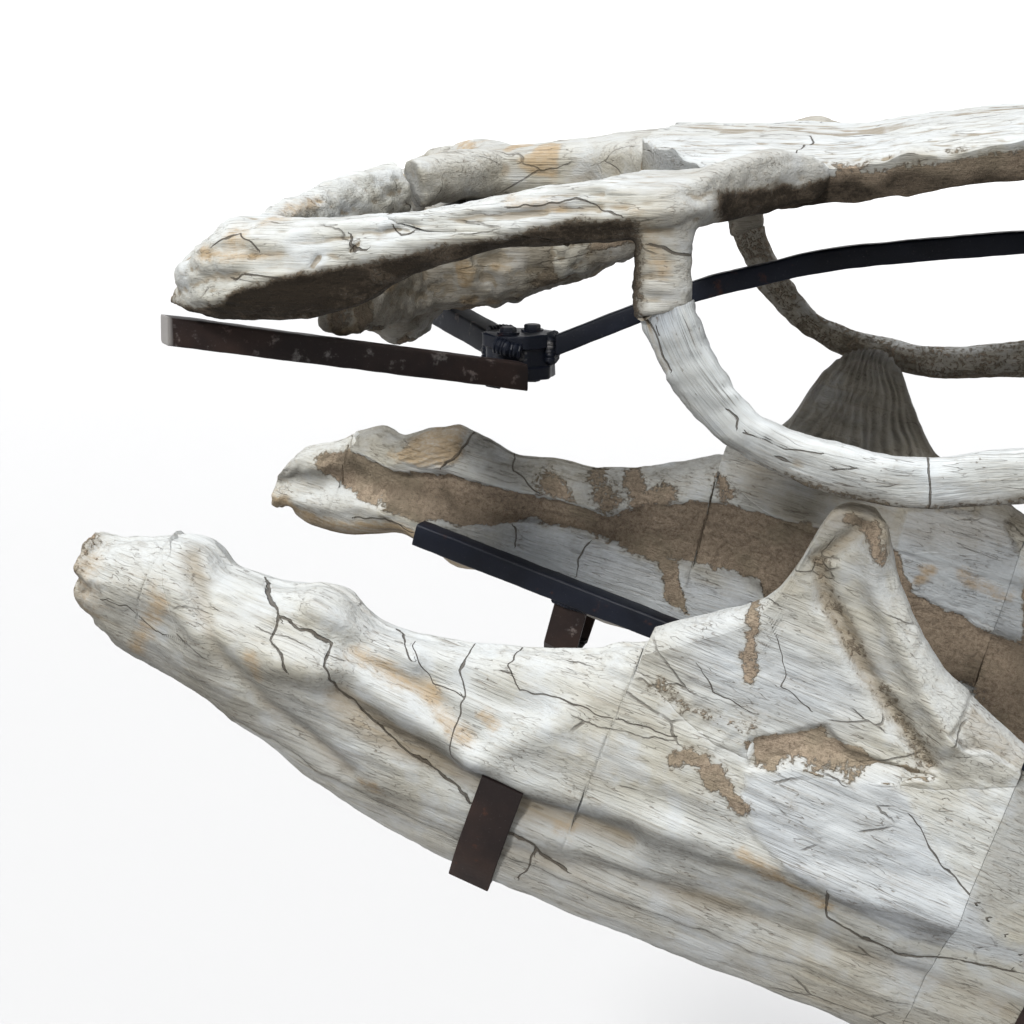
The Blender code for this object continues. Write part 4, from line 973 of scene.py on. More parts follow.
FAR_PATCHES = (
    (0.8, 0.012, ((0.245, 0.012), (0.262, 0.008))), (0.9, 0.010, ((0.315, 0.040), (0.325, 0.020), (0.350, 0.036))),
    (0.8, 0.009, ((0.390, 0.060), (0.400, 0.050))), (0.7, 0.012, ((0.285, 0.030), (0.300, 0.012))),
)
FAR_CRACKS = (
    (0.0006, ((0.293, -0.028), (0.290, -0.045), (0.293, -0.060))),
    (0.0006, ((0.225, -0.036), (0.232, -0.052))),
    (0.0009, ((0.166, 0.032), (0.160, 0.010), (0.150, -0.004))),
    (0.0007, ((0.205, 0.032), (0.212, 0.010), (0.240, 0.002))),
    (0.0007, ((0.080, -0.076), (0.110, -0.066), (0.137, -0.070))),
    (0.0008, ((0.215, -0.085), (0.222, -0.105))),
)
FURROW_COUNT = 11


def furrows(u, v, spots):
    """The furrows of the left coronoid, -1 to 1: a wave of the share across its blade, between a
    rear and a front line that draw together towards the crest."""
    rear = 0.418 + 0.40 * (v - 0.098)
    front = 0.550 - 0.68 * (v - 0.118)
    share = (u - rear) / np.maximum(front - rear, 0.02)
    blade = step_up(v, 0.095, 0.112) * step_up(u, 0.415, 0.430) * step_up(share, 1.10, 0.90)
    return -np.cos(2 * np.pi * (FURROW_COUNT * share + 0.5 * lumps(spots, 0.022, 17, 2))) * blade


def far_relief(spots, outer):
    """The left jaw's forms as a height over its plain faces."""
    u, v = spots[..., 0], sagged(spots[..., 0], spots[..., 2])
    rise = wear(spots + 3.0) + 0.0035 * np.exp(-np.abs(u) / 0.02) * lumps(spots, 0.013, 8, 3)
    rise -= 0.0015 * furrows(u, v, spots)
    if not outer:
        sand = inside_outline(u, v, SANDSTONE, 0.003)
        rise -= 0.0045 * sand + 0.0022 * inside_outline(u, v, PLATE_GAP, 0.0015)
        rise += sand * (0.0016 * lumps(spots, 0.020, 14, 3) + 0.0012 * lumps(spots, 0.005, 15, 2))
        rise += 0.0022 * along_path(u, v, SANDSTONE[17:25], 0.004)
        fan = inside_outline(u, v, STAINED_FAN, 0.003)
        rise += 0.0028 * fan + 0.0010 * fan * np.sin(u * 700 - v * 1300 + 2 * lumps(spots, 0.01, 18))
        rise += 0.0034 * inside_outline(u, v, FRONT_PLATE, 0.003)
        rise += 0.0024 * drawn(u, v, FAR_PATCHES) * lumps(spots, 0.012, 16, 2)
    return rise


def far_marks(points):
    """Rock, stains, tone, pale plates and cracks of the left jaw."""
    u, v = points[:, 0], points[:, 2]
    inner = step_up(points[:, 1] - jaw_out(u), 0.004, -0.004)
    signed, near = cracks_at(u, v, points, FAR_CRACKS)
    furrow = furrows(u, v, points)
    u = u + RAGGED * lumps(points, 0.012, 33, 3)
    v = v + RAGGED * lumps(points, 0.012, 34, 3)
    sand = inside_outline(u, v, SANDSTONE, 0.003) * step_up(u, 1.36, 1.28)
    ahead = step_up(u, 0.62, 0.66) * step_up(np.abs((v - jaw_bottom(u)) / (jaw_top(u) - jaw_bottom(u)) - 0.5), 0.40, 0.26)
    rock = np.max([sand, ahead * step_up(u, 1.34, 1.26), inside_outline(u, v, PLATE_GAP, 0.002), drawn(u, v, FAR_PATCHES)], axis=0)
    front_plate = inside_outline(u, v, FRONT_PLATE, 0.002) * inner
    rock *= 1 - front_plate
    plates = np.maximum(step_up(v, -0.020, -0.034) * step_up(u, 0.20, 0.24), front_plate)
    blade = step_up(v - coronoid_foot(u), 0.0, 0.02) * step_up(u, CORONOID_REAR, CORONOID_REAR + 0.03)
    blade *= step_up(u, JAW_JOINT + 0.03, JAW_JOINT)
    lip = step_up(v - sagged(u, jaw_bottom(u)), 0.022, 0.008)
    return {
        "rock": rock * inner,
        # Painted shade in the grooves of the coronoid's furrows.
        "shade": 0.12 * step_up(furrow, 0.2, 1.0),
        "hollow": 0.0,
        "stain": np.clip(0.8 * inside_outline(u, v, STAINED_FAN, 0.006) + drawn(u, v, RUSTY_SPOTS) + 0.8 * lip + 0.35 * step_up(u, 0.30, 0.05), 0, 1),
        "tone": np.clip(0.26 - 0.20 * plates + 0.40 * blade + 0.2 * lip, 0, 1),
        "pale": np.clip(plates * (1 - rock) * 0.8, 0, 1),
        "crack": np.stack([signed, np.where(inner > 0.5, near, 9.0), np.zeros_like(u)], -1),
    }


print(len(SANDSTONE), "points go round the sandstone")

# %% [markdown]
# ## Building the jaw bones
#
# For each place along the jaw, a ring goes up the outer face from the bone's lower line to its
# upper one, across, and down the inner face. The faces are heights over a plane, so their
# normals come from slopes, and the relief moves each point along its normal. Where the bone
# ends at the jaw's own edge the ring is rounded there, and at a seam it is cut square.

# %% One bone of a jaw
REAR_EDGE = {
    RIGHT: smooth((-0.050, 0.021), (-0.042, 0.010), (-0.036, 0.008), (-0.028, 0.013), (-0.018, 0.007), (0.0, 0.004)),
    LEFT: smooth((-0.050, 0.004), (-0.044, -0.004), (-0.020, -0.004), (0.0, 0.006)),
}


def jaw_face(x, z, facing, half, relief):
    """Points of one face of a jaw, with y measured outwards: y = way out +- half thickness, moved by
    the relief along (-dy/dx, 1, -dy/dz) scaled to length 1."""

    def y(x, z):
        return jaw_out(x) + facing * half(x, z, facing > 0)

    small = 0.0008
    slope_x = (y(x + small, z) - y(x - small, z)) / (2 * small)
    slope_z = (y(x, z + small) - y(x, z - small)) / (2 * small)
    normal = np.stack([-slope_x, np.ones_like(z), -slope_z], -1) * facing
    normal /= np.linalg.norm(normal, axis=-1)[..., None]
    spots = np.stack([x, y(x, z), z], -1)
    return spots + normal * relief(spots, facing > 0)[..., None]


def across(start, end, rounded):
    """Three more columns from one edge of a face to the other, bulged by a half circle if rounded."""
    middle = []
    for share in (0.15, 0.5, 0.85):
        lift = rounded * np.sqrt(1 - (2 * share - 1) ** 2) * np.linalg.norm(end - start, axis=-1) / 2
        middle.append(start + share * (end - start) + lift[..., None] * (0, 0, 1))
    return np.stack(middle, 1)


def jaw_bone(side, start, end, low, high, step, relief, half=jaw_half, round_low=0, round_high=0, ends=(0, 0)):
    """The closed surface of one jaw bone from start to end, between a low and a high line."""
    xs = np.linspace(start + SUTURE_GAP / 2, end - SUTURE_GAP / 2, int((end - start) / step) + 2)
    tallest = np.max(high(xs) - low(xs))
    columns = int(tallest / step) + 4
    low_z, high_z = low(xs), np.maximum(high(xs), low(xs) + 0.0004)
    shares = [(edge - jaw_bottom(xs)) / (jaw_top(xs) - jaw_bottom(xs)) for edge in (low_z, high_z)]
    turns = np.linspace(*[np.arccos(1 - 2 * np.clip(share, 0, 1)) for share in shares], columns, axis=1)
    spread = (1 - np.cos(turns)) / 2
    if half is coronoid_half:
        spread = np.broadcast_to(np.linspace(0, 1, columns), spread.shape)
    spread = (spread - spread[:, :1]) / np.maximum(spread[:, -1:] - spread[:, :1], 1e-6)
    z = low_z[:, None] + spread * (high_z - low_z)[:, None]
    x = np.broadcast_to(xs[:, None], z.shape)
    outer, inner = (jaw_face(x, z, facing, half, relief) for facing in (1, -1))
    over = across(outer[:, -1], inner[:, -1], round_high)
    under = across(inner[:, 0], outer[:, 0], -round_low)
    rings = np.concatenate([outer, over, inner[:, ::-1], under], axis=1)
    if start < SURANGULAR_REAR:
        rings[..., 0] += REAR_EDGE[side](rings[..., 2]) * np.exp(-rings[..., 0] / 0.030)
    rings[..., 1] *= side
    if side == LEFT:
        rings[..., 2] = sagged(rings[..., 0], rings[..., 2])
    rings[..., 2] += tip_bend(rings[..., 0], side)
    return tube(rings, *ends)


def make_jaw(side, step, front_step, relief, marks):
    """The six bones of one jaw, each in the jaw's own frame."""
    word, where = SIDE_NAMES[side], f"{SIDE_NAMES[side]}_jaw"
    gap = SUTURE_GAP / 2

    crest = coronoid_crest[side]

    def articular_high(x):
        return np.where(x < SURANGULAR_REAR, jaw_top(x), suture_line(x) - gap)

    def surangular_low(x):
        return np.where(x <= ARTICULAR_FRONT, suture_line(x), strip_line(x)) + gap

    def surangular_high(x):
        return np.where(x < CORONOID_REAR, jaw_top(x), foot_line(x) - gap)

    def strip_high(x):
        return strip_line(x) - gap

    def dentary_low(x):
        return np.where(x <= SPLENIAL_FRONT, strip_line(x) + gap, jaw_bottom(x))

    def make(name, start, end, low, high, size, **more):
        bone(f"{name}_{word}", jaw_bone(side, start, end, low, high, size, relief, **more), where, marks)

    make("articular", 0.0, ARTICULAR_FRONT, jaw_bottom, articular_high, step, round_low=1, round_high=0.6, ends=(0.003, 0))
    make("surangular", SURANGULAR_REAR, JAW_JOINT, surangular_low, surangular_high, step, round_high=1)
    make("angular", ARTICULAR_FRONT, JAW_JOINT, jaw_bottom, strip_high, step, round_low=1)
    make("coronoid", CORONOID_REAR, JAW_JOINT, lambda x: foot_line(x) + gap, crest, 0.0014, half=coronoid_half, round_high=1)
    make("splenial", JAW_JOINT, SPLENIAL_FRONT, jaw_bottom, strip_high, front_step, round_low=1, ends=(0, 0.004))
    make("dentary", JAW_JOINT, JAW_LENGTH, dentary_low, jaw_top, front_step, round_low=1, round_high=1, ends=(0, 0.008))


make_jaw(RIGHT, 0.0017, 0.0042, near_relief, near_marks)
make_jaw(LEFT, 0.0022, 0.0042, far_relief, far_marks)

# %% [markdown]
# ## The roof and snout
#
# Frontal, prefrontals, maxillae and the bar of the premaxilla are strips of one vault. Its
# section is a boxy arch: a share from 0 at the midline to 1 at the tooth row gives an angle, and
# the arch's width and height are its cosine and sine, each raised to a power under 1.

# %% The vault
ROOF_REAR, ORBIT_FRONT, PREFRONTAL_DOWN, FRONTAL_FRONT = 0.360, 0.655, 0.680, 0.860
PREFRONTAL_REAR, NARIS_FRONT, MAXILLA_FRONT, SNOUT_TIP = 0.630, 1.14, 1.30, 1.43

vault_top = smooth(
    (0.20, 0.085), (0.30, 0.096), (0.41, 0.105), (0.485, 0.104), (0.554, 0.114), (0.62, 0.122), (0.75, 0.128),
    (0.88, 0.122), (1.05, 0.098), (1.20, 0.065), (1.33, 0.025), (1.40, -0.010), (SNOUT_TIP, -0.035),
)
vault_foot = smooth(
    (0.33, -0.108), (0.62, -0.108), (0.80, -0.112), (1.0, -0.103), (1.2, -0.090), (SNOUT_TIP, -0.068),
)
vault_width = smooth(
    (0.33, 0.225), (0.62, 0.215), (0.80, 0.180), (1.0, 0.132), (1.2, 0.088), (1.33, 0.058), (1.40, 0.036),
    (SNOUT_TIP, 0.016),
)
vault_power = smooth((0.33, 0.50), (0.62, 0.52), (0.80, 0.62), (1.0, 0.72), (SNOUT_TIP, 0.80))
frontal_width = smooth(
    (ROOF_REAR, 0.085), (0.385, 0.132), (0.42, 0.148), (0.56, 0.146), (0.61, 0.137), (0.66, 0.108),
    (0.76, 0.078), (FRONTAL_FRONT, 0.046),
)
premaxilla_width = smooth(
    (0.86, 0.014), (0.95, 0.016), (1.05, 0.018), (1.14, 0.026), (1.22, 0.034), (1.30, 0.040),
)
prefrontal_foot = smooth((PREFRONTAL_REAR, 0.085), (0.645, 0.045), (ORBIT_FRONT, -0.005))
maxilla_top = smooth(
    (ORBIT_FRONT, -0.070), (0.68, -0.058), (0.72, -0.026), (0.78, 0.040), (0.83, 0.100),
    (FRONTAL_FRONT, 0.1195),
)
naris_width = smooth((FRONTAL_FRONT, 0.11), (0.93, 0.15), (1.0, 0.16), (1.08, 0.12), (NARIS_FRONT, 0.0))


def vault_at_width(x, y):
    """The share at which the vault is y wide."""
    return 1 - np.arccos(np.clip(y / vault_width(x), 0, 1) ** (1 / vault_power(x))) / (np.pi / 2)


def vault_at_height(x, z):
    """The share at which the vault is z high."""
    ratio = np.clip((z - vault_foot(x)) / (vault_top(x) - vault_foot(x)), 0, 1)
    return 1 - np.arcsin(ratio ** (1 / vault_power(x))) / (np.pi / 2)


def vault_point(x, share):
    angle = (1 - np.abs(share)) * np.pi / 2
    power = vault_power(x)
    y = np.sign(share) * vault_width(x) * np.cos(angle) ** power
    return np.stack([x, y, vault_foot(x) + (vault_top(x) - vault_foot(x)) * np.sin(angle) ** power], -1)


def vault_depth(points):
    """1 on the vault's outer face and less inside it: the sum that makes a superellipse."""
    x = points[:, 0]
    wide = np.abs(points[:, 1]) / vault_width(x)
    high = np.clip((points[:, 2] - vault_foot(x)) / (vault_top(x) - vault_foot(x)), 0, 2)
    return wide ** (2 / vault_power(x)) + high ** (2 / vault_power(x))


def skull_relief(spots):
    """The roof's forms: a keel along its midline, two low swells beside it and a ragged rim."""
    x, y = spots[..., 0], np.abs(spots[..., 1])
    rise = wear(spots + 5.0) + 0.0010 * lumps(spots * (0.25, 1, 1), 0.008, 21, 3) - 0.0030 * step_up(x, 0.36, 0.42)
    rise += 0.0030 * np.exp(-((y / 0.007) ** 2)) * step_up(x, 0.42, 0.52) * step_up(x, 0.86, 0.80)
    rise += 0.0022 * np.exp(-(((y - 0.070) / 0.018) ** 2)) * step_up(x, 0.36, 0.45) * step_up(x, 0.70, 0.60)
    rim = np.exp(-((frontal_width(x) - y).clip(0) / 0.010)) * step_up(x, 0.60, 0.56)
    return rise + 0.0042 * rim * lumps(spots, 0.016, 23, 3)


ROOF_CRACKS = (
    (0.0006, ((0.42, -0.06), (0.47, -0.055), (0.53, -0.068), (0.60, -0.050))),
    (0.0005, ((0.50, 0.03), (0.56, 0.045), (0.63, 0.038), (0.72, 0.02))),
    (0.0006, ((0.47, -0.055), (0.475, -0.09), (0.468, -0.13))), (0.0005, ((0.40, 0.04), (0.46, 0.07), (0.50, 0.12))),
    (0.0007, ((0.80, -0.06), (0.88, -0.07), (0.97, -0.05))), (0.0006, ((0.90, 0.08), (1.0, 0.07), (1.12, 0.05))),
)


def skull_marks(points):
    """White above, with rock under the vault and in its rim, and tan towards the snout. The rock under the vault is
    partly real matrix and partly painted shade, and its low parts are darkened by painted shade.
    """
    x, y = points[:, 0], points[:, 1]
    depth = vault_depth(points)
    signed, near = cracks_at(x, y, points, ROOF_CRACKS)
    under = step_up(depth + 0.20 * step_up(x, 0.48, 0.44), 0.93, 0.80)
    rim = np.exp(-((np.abs(y) - frontal_width(x)) / 0.006) ** 2) * step_up(x, 0.60, 0.56) * step_up(x, 0.47, 0.50)
    return {
        "rock": np.maximum(under, rim * step_up(lumps(points, 0.022, 24, 2), 0.0, 0.5) * 0.9),
        # Painted shade under the vault, darker where it lies low.
        "shade": 0.90 * under * step_up(points[:, 2] + 0.006 * lumps(points, 0.02, 27, 2), 0.095, 0.080),
        "stain": 0.55 * step_up(lumps(points * (0.4, 1, 1), 0.030, 25, 2), 0.45, 0.95),
        "tone": np.clip(0.10 + 0.35 * step_up(x, 0.6, 1.1) + 0.3 * rim, 0, 1),
        "pale": 0.5 * step_up(lumps(points * (0.3, 1, 1), 0.05, 26, 2), 0.1, 0.6) * (1 - under),
        "crack": np.stack([signed, np.where(under > 0.5, 9.0, near), np.zeros_like(x)], -1),
    }


def vault_bone(side, start_x, end_x, start, end, step, ends=(0, 0)):
    """A closed strip of the vault between two shares, 20 mm thick and thicker at midline and teeth."""
    xs = np.linspace(start_x + SUTURE_GAP / 2, end_x - SUTURE_GAP / 2, int((end_x - start_x) / step) + 2)
    low, high = start(xs), end(xs)
    middle = (start_x + end_x) / 2
    columns = int(np.max(high - low) * (vault_width(middle) + vault_top(middle) - vault_foot(middle)) * 0.9 / step) + 5
    share = np.linspace(low, high, columns, axis=1)
    x = np.broadcast_to(xs[:, None], share.shape)
    tangent = vault_point(x, np.clip(share + 0.01, -1, 1)) - vault_point(x, np.clip(share - 0.01, -1, 1))
    tangent /= np.linalg.norm(tangent, axis=-1)[..., None]
    inward = np.stack([np.zeros_like(x), tangent[..., 2], -tangent[..., 1]], -1)
    plain = vault_point(x, share)
    snout = np.clip((x - 0.75) / 0.2, 0, 1)
    midline = (0.020 - 0.014 * snout) * np.exp(-((share / (0.42 - 0.17 * snout)) ** 2))
    thickness = 0.020 + midline + 0.012 * np.clip((np.abs(share) - 0.55) / 0.45, 0, 1)
    within = plain + inward * thickness[..., None]
    outer = plain - inward * skull_relief(plain)[..., None]
    inner = within + inward * skull_relief(within)[..., None]
    walls = []
    for first, last in ((outer[:, -1], inner[:, -1]), (inner[:, 0], outer[:, 0])):
        walls.append(np.stack([first + part * (last - first) for part in (0.1, 0.3, 0.5, 0.7, 0.9)], 1))
    rings = np.concatenate([outer, walls[0], inner[:, ::-1], walls[1]], axis=1) * (1, side, 1)
    return tube(rings, *ends)


def frontal_edge(x):
    return vault_at_width(x, frontal_width(x) + ruffle(x, 8) * step_up(x, 0.57, 0.60))


def premaxilla_edge(x):
    return vault_at_width(x, premaxilla_width(x))


def prefrontal_end(x):
    foot = np.where(x < PREFRONTAL_DOWN, prefrontal_foot(x), maxilla_top(x))
    return np.maximum(vault_at_height(x, foot), frontal_edge(x) + 0.03)


def maxilla_start(x):
    behind = vault_at_height(x, maxilla_top(x))
    return np.where(x <= FRONTAL_FRONT, behind, premaxilla_edge(x) + naris_width(x))


def to_teeth(x):
    return np.ones_like(x)


frontal = vault_bone(LEFT, ROOF_REAR, FRONTAL_FRONT, lambda x: -frontal_edge(x), frontal_edge, 0.0026)
bone("frontal", frontal, "skull", skull_marks)
for side in (RIGHT, LEFT):
    word = SIDE_NAMES[side]
    prefrontal = vault_bone(side, PREFRONTAL_REAR, FRONTAL_FRONT, frontal_edge, prefrontal_end, 0.0028)
    bone(f"prefrontal_{word}", prefrontal, "skull", skull_marks)
    maxilla = vault_bone(side, ORBIT_FRONT, MAXILLA_FRONT, maxilla_start, to_teeth, 0.0036)
    bone(f"maxilla_{word}", maxilla, "skull", skull_marks, "bone_with_teeth")

# %% [markdown]
# ## The premaxilla
#
# A thin bar between the nostrils swells into the solid tip of the snout, which carries two teeth
# on each side. The bar is a strip of the vault and the tip is the whole arch, closed below by a
# palate, and one skin of small cubes is laid over both.

# %% The tip of the snout
def snout_tip(step):
    xs = np.linspace(MAXILLA_FRONT + SUTURE_GAP, SNOUT_TIP, int((SNOUT_TIP - MAXILLA_FRONT) / step))
    share = np.broadcast_to(np.linspace(-1, 1, 41), (len(xs), 41))
    outer = vault_point(np.broadcast_to(xs[:, None], share.shape), share)
    palate = [outer[:, -1] * (1, part, 1) + (0, 0, 0.004) for part in (0.6, 0.2, -0.2, -0.6)]
    return tube(np.concatenate([outer, np.stack(palate, 1)], axis=1), 0, 0.006)


premaxilla_bar = vault_bone(
    LEFT, FRONTAL_FRONT, MAXILLA_FRONT + 0.012, lambda x: -premaxilla_edge(x) * 0.95, lambda x: premaxilla_edge(x) * 0.95, 0.003,
)
premaxilla = remeshed(premaxilla_bar + snout_tip(0.004), 0.0028)
bone("premaxilla", premaxilla.pushed(skull_relief(premaxilla.points)), "skull", skull_marks, "bone_with_teeth")

# %% [markdown]
# ## The cheek bars and the bones under the eyes
#
# A bar runs back from behind each eye: the squamosal below and behind, the postorbitofrontal
# above and in front. Their sections are ovals between two widths and two heights that change
# along the skull. A stub at the front carries the jugal, a rod that bends down and forward under
# the eye, and a stub at the rear meets the arm of the parietal.

# %% Ovals along a bone
def oval(around, power):
    """Cosines and sines round a ring, raised to a power. A power under 1 makes the ring boxier."""
    angle = 2 * np.pi * (np.arange(around) + 0.5) / around
    cosine, sine = np.cos(angle), np.sin(angle)
    return np.sign(cosine) * np.abs(cosine) ** power, np.sign(sine) * np.abs(sine) ** power


def ovals_across(xs, inner_y, outer_y, bottom, top, around=48, power=0.7):
    """Rings in planes across X, each between two widths and two heights."""
    cosine, sine = oval(around, power)
    y = ((outer_y + inner_y)[:, None] + (outer_y - inner_y)[:, None] * cosine) / 2
    z = ((top + bottom)[:, None] + (top - bottom)[:, None] * sine) / 2
    return np.stack([np.broadcast_to(xs[:, None], y.shape), y, z], -1)


def ovals_on_path(path, half_wide, half_thick, thick_way, around=32, power=0.8):
    """Rings square to a path. thick_way is the direction of their half_thick side."""
    path = np.asarray(path, float)
    half_wide = np.broadcast_to(half_wide, len(path))[:, None, None]
    half_thick = np.broadcast_to(half_thick, len(path))[:, None, None]
    along = np.gradient(path, axis=0)
    along /= np.linalg.norm(along, axis=1)[:, None]
    thick_way = np.asarray(thick_way, float)
    side = thick_way - (along @ thick_way)[:, None] * along
    side /= np.linalg.norm(side, axis=1)[:, None]
    wide = np.cross(along, side)
    cosine, sine = oval(around, power)
    rings = side[:, None] * (half_thick * cosine[None, :, None]) + wide[:, None] * (half_wide * sine[None, :, None])
    return path[:, None] + rings


# %% Sizes and curves of the cheek
BAR_REAR, BAR_SPLIT, ORBIT_REAR = 0.058, (0.215, 0.335), 0.475
bar_top = smooth(
    (BAR_REAR, 0.005), (0.075, 0.034), (0.110, 0.056), (0.156, 0.057), (0.234, 0.065), (0.30, 0.079),
    (0.37, 0.088), (0.41, 0.090), (0.435, 0.099), (0.455, 0.1025), (ORBIT_REAR, 0.099),
)
bar_bottom = smooth(
    (BAR_REAR, -0.003), (0.09, -0.011), (0.154, -0.009), (0.18, -0.004), (0.25, 0.029), (0.31, 0.043),
    (0.38, 0.048), (0.42, 0.055), (ORBIT_REAR, 0.066),
)
bar_outer = smooth(
    (BAR_REAR, 0.200), (0.085, 0.222), (0.13, 0.234), (0.20, 0.228), (0.30, 0.229), (0.40, 0.229),
    (0.42, 0.216), (0.44, 0.193), (0.46, 0.173), (ORBIT_REAR, 0.158),
)
bar_inner = smooth(
    (BAR_REAR, 0.182), (0.085, 0.172), (0.13, 0.166), (0.20, 0.190), (0.30, 0.198), (0.35, 0.190),
    (0.385, 0.134), (0.42, 0.150), (ORBIT_REAR, 0.150),
)
bar_seam = smooth(
    (BAR_REAR, 0.080), (BAR_SPLIT[0] - 0.012, 0.066), (0.235, 0.0565), (0.25, 0.054), (0.30, 0.054),
    (BAR_SPLIT[1] - 0.010, 0.0505), (BAR_SPLIT[1] + 0.010, 0.0445), (ORBIT_REAR, 0.030),
)
JUGAL_PATH = (
    (0.399, 0.210, 0.072), (0.396, 0.213, 0.017), (0.407, 0.214, -0.018), (0.425, 0.214, -0.044), (0.452, 0.214, -0.071),
    (0.493, 0.212, -0.088), (0.556, 0.208, -0.099), (0.605, 0.203, -0.095), (ORBIT_FRONT, 0.198, -0.089),
)
JUGAL_SPLIT = 3 / 17  # where the stub ends, as a share of the rod
SUPRATEMPORAL_PATH = (
    (0.245, 0.012, 0.073), (0.215, 0.040, 0.072), (0.18, 0.075, 0.064), (0.14, 0.130, 0.047), (0.118, 0.185, 0.030),
)
RAMUS_SPLIT = 4 / 11
BAR_EDGE = ((0.06, -0.002), (0.102, 0.006), (0.131, 0.019), (0.171, 0.027), (0.239, 0.044), (0.297, 0.054), (0.348, 0.063), (0.44, 0.072))
BAR_GROOVES = (
    (-0.0026, 0.0030, ((0.185, 0.063), (0.242, 0.067), (0.308, 0.077), (0.36, 0.080))),
    (-0.0016, 0.0040, ((0.130, 0.036), (0.20, 0.050), (0.279, 0.063), (0.358, 0.069))),
    (0.0030, 0.0060, BAR_EDGE), (-0.0030, 0.0022, ((0.172, 0.030), (0.175, 0.034))),
    (-0.0030, 0.0018, ((0.197, 0.040), (0.201, 0.044))), (-0.0020, 0.0016, ((0.220, 0.054), (0.228, 0.055))),
)
BAR_CRACKS = (
    (0.0008, ((0.196, 0.046), (0.199, 0.040), (0.206, 0.043))), (0.0005, ((0.225, 0.056), (0.231, 0.050), (0.240, 0.052))),
    (0.0006, ((0.115, 0.020), (0.128, 0.024), (0.150, 0.022))), (0.0005, ((0.10, 0.04), (0.12, 0.048), (0.135, 0.040))),
    (0.0008, ((0.390, 0.047), (0.402, 0.043), (0.420, 0.038))), (0.0005, ((0.300, 0.070), (0.345, 0.074), (0.372, 0.066))),
)
BAR_STAINS = (
    (0.9, 0.008, ((0.115, 0.046), (0.122, 0.046))), (0.9, 0.007, ((0.133, 0.058), (0.142, 0.060))),
    (0.8, 0.006, ((0.094, 0.035), (0.149, 0.036))), (0.9, 0.006, ((0.300, 0.073), (0.335, 0.070))),
    (0.9, 0.010, ((0.388, 0.056), (0.398, 0.032))), (0.7, 0.006, ((0.360, 0.075), (0.385, 0.068))),
)


def bar_relief(spots):
    x, z = spots[..., 0], spots[..., 2]
    rise = wear(spots + 9.0) + 0.0045 * np.exp(-((x - 0.05).clip(0) / 0.045)) * lumps(spots, 0.018, 51, 3)
    rise += 0.0012 * lumps(spots * (0.25, 1, 1), 0.007, 52, 3) * step_up(x, 0.44, 0.38)
    outer = step_up(np.abs(spots[..., 1]), 0.195, 0.21)
    return rise + outer * sum(height * along_path(x, z, line, reach) for height, reach, line in BAR_GROOVES)


def bar_marks(side):
    """Marks of a cheek bar: light above its long edge and brown with sand below it. The brown below is partly real
    matrix and partly painted shade, and it is darkened further by painted shade.
    """

    def marks(points):
        x, z = points[:, 0], points[:, 2]
        edge = np.interp(x, *zip(*BAR_EDGE))
        # below is the bar's underside and the low part of its front end, where painted shade is laid.
        below = step_up(z - edge + 0.004 * lumps(points, 0.02, 54, 2), 0.002, -0.007) * step_up(x, 0.392, 0.376)
        below = np.maximum(below, step_up(z + 0.004 * lumps(points, 0.02, 56, 2), 0.087, 0.078) * step_up(x, 0.424, 0.434))
        end = np.exp(-((x - 0.055).clip(0) / 0.014))
        outer = step_up(np.abs(points[:, 1]), 0.195, 0.205)
        signed, near = cracks_at(x, z, points, BAR_CRACKS)
        sandy = 0.10 if side == RIGHT else 0.40 + 0.45 * step_up(z, 0.060, 0.045) * step_up(x, 0.37, 0.38)
        return {
            "rock": np.clip(below * 0.85 + 0.5 * end, 0, 1),
            # Painted shade under the bar.
            "shade": 1.05 * below,
            "stain": np.clip(0.8 * drawn(x, z, BAR_STAINS) + 0.3 * step_up(x, 0.16, 0.08), 0, 1),
            "tone": np.clip(sandy + 0.6 * below + 0.5 * end + 0.3 * step_up(x, 0.36, 0.40), 0, 1),
            "pale": 0.6 * step_up(lumps(points * (0.3, 1, 1), 0.04, 55, 2), 0.0, 0.5) * (1 - below) * step_up(x, 0.14, 0.2),
            "crack": np.stack([signed, np.where(outer > 0.5, near, 9.0), np.zeros_like(x)], -1),
        }

    return marks


def jugal_rings(side, count, start=0.0, end=1.0, fan=0.0):
    """Rings of the rod under the eye, between two shares of its length."""
    slim = {RIGHT: 1.0, LEFT: 0.78}[side]
    share = np.linspace(start, end, count)
    whole = curve(JUGAL_PATH, 401)
    path = np.stack([np.interp(share * 400, np.arange(401), part) for part in whole.T], -1)
    wide = smooth((0, 0.017), (0.2, 0.019), (0.45, 0.0155), (0.7, 0.0155), (1, 0.019))(share)
    wide = wide + fan * np.exp(-share / 0.05)
    thick = smooth((0, 0.012), (0.3, 0.011), (1, 0.011))(share)
    return ovals_on_path(path, wide * slim, thick * slim, (0, 1, 0)) * (1, side, 1)


def ramus_rings(side, count, start=0.0, end=1.0):
    """Rings of the arm from the parietal back and out to the rear of the cheek bar."""
    share = np.linspace(0, 1, count)
    rings = ovals_on_path(curve(SUPRATEMPORAL_PATH, count), 0.0165 + 0.0075 * share, 0.016 - 0.003 * share, (0.6, 0.8, 0))
    kept = (share >= start) & (share <= end)
    return rings[kept] * (1, side, 1)


# %% The cheek bars
SEAM_OVERLAP = 0.0018  # the skins meet inside each other, so no light shows through a seam


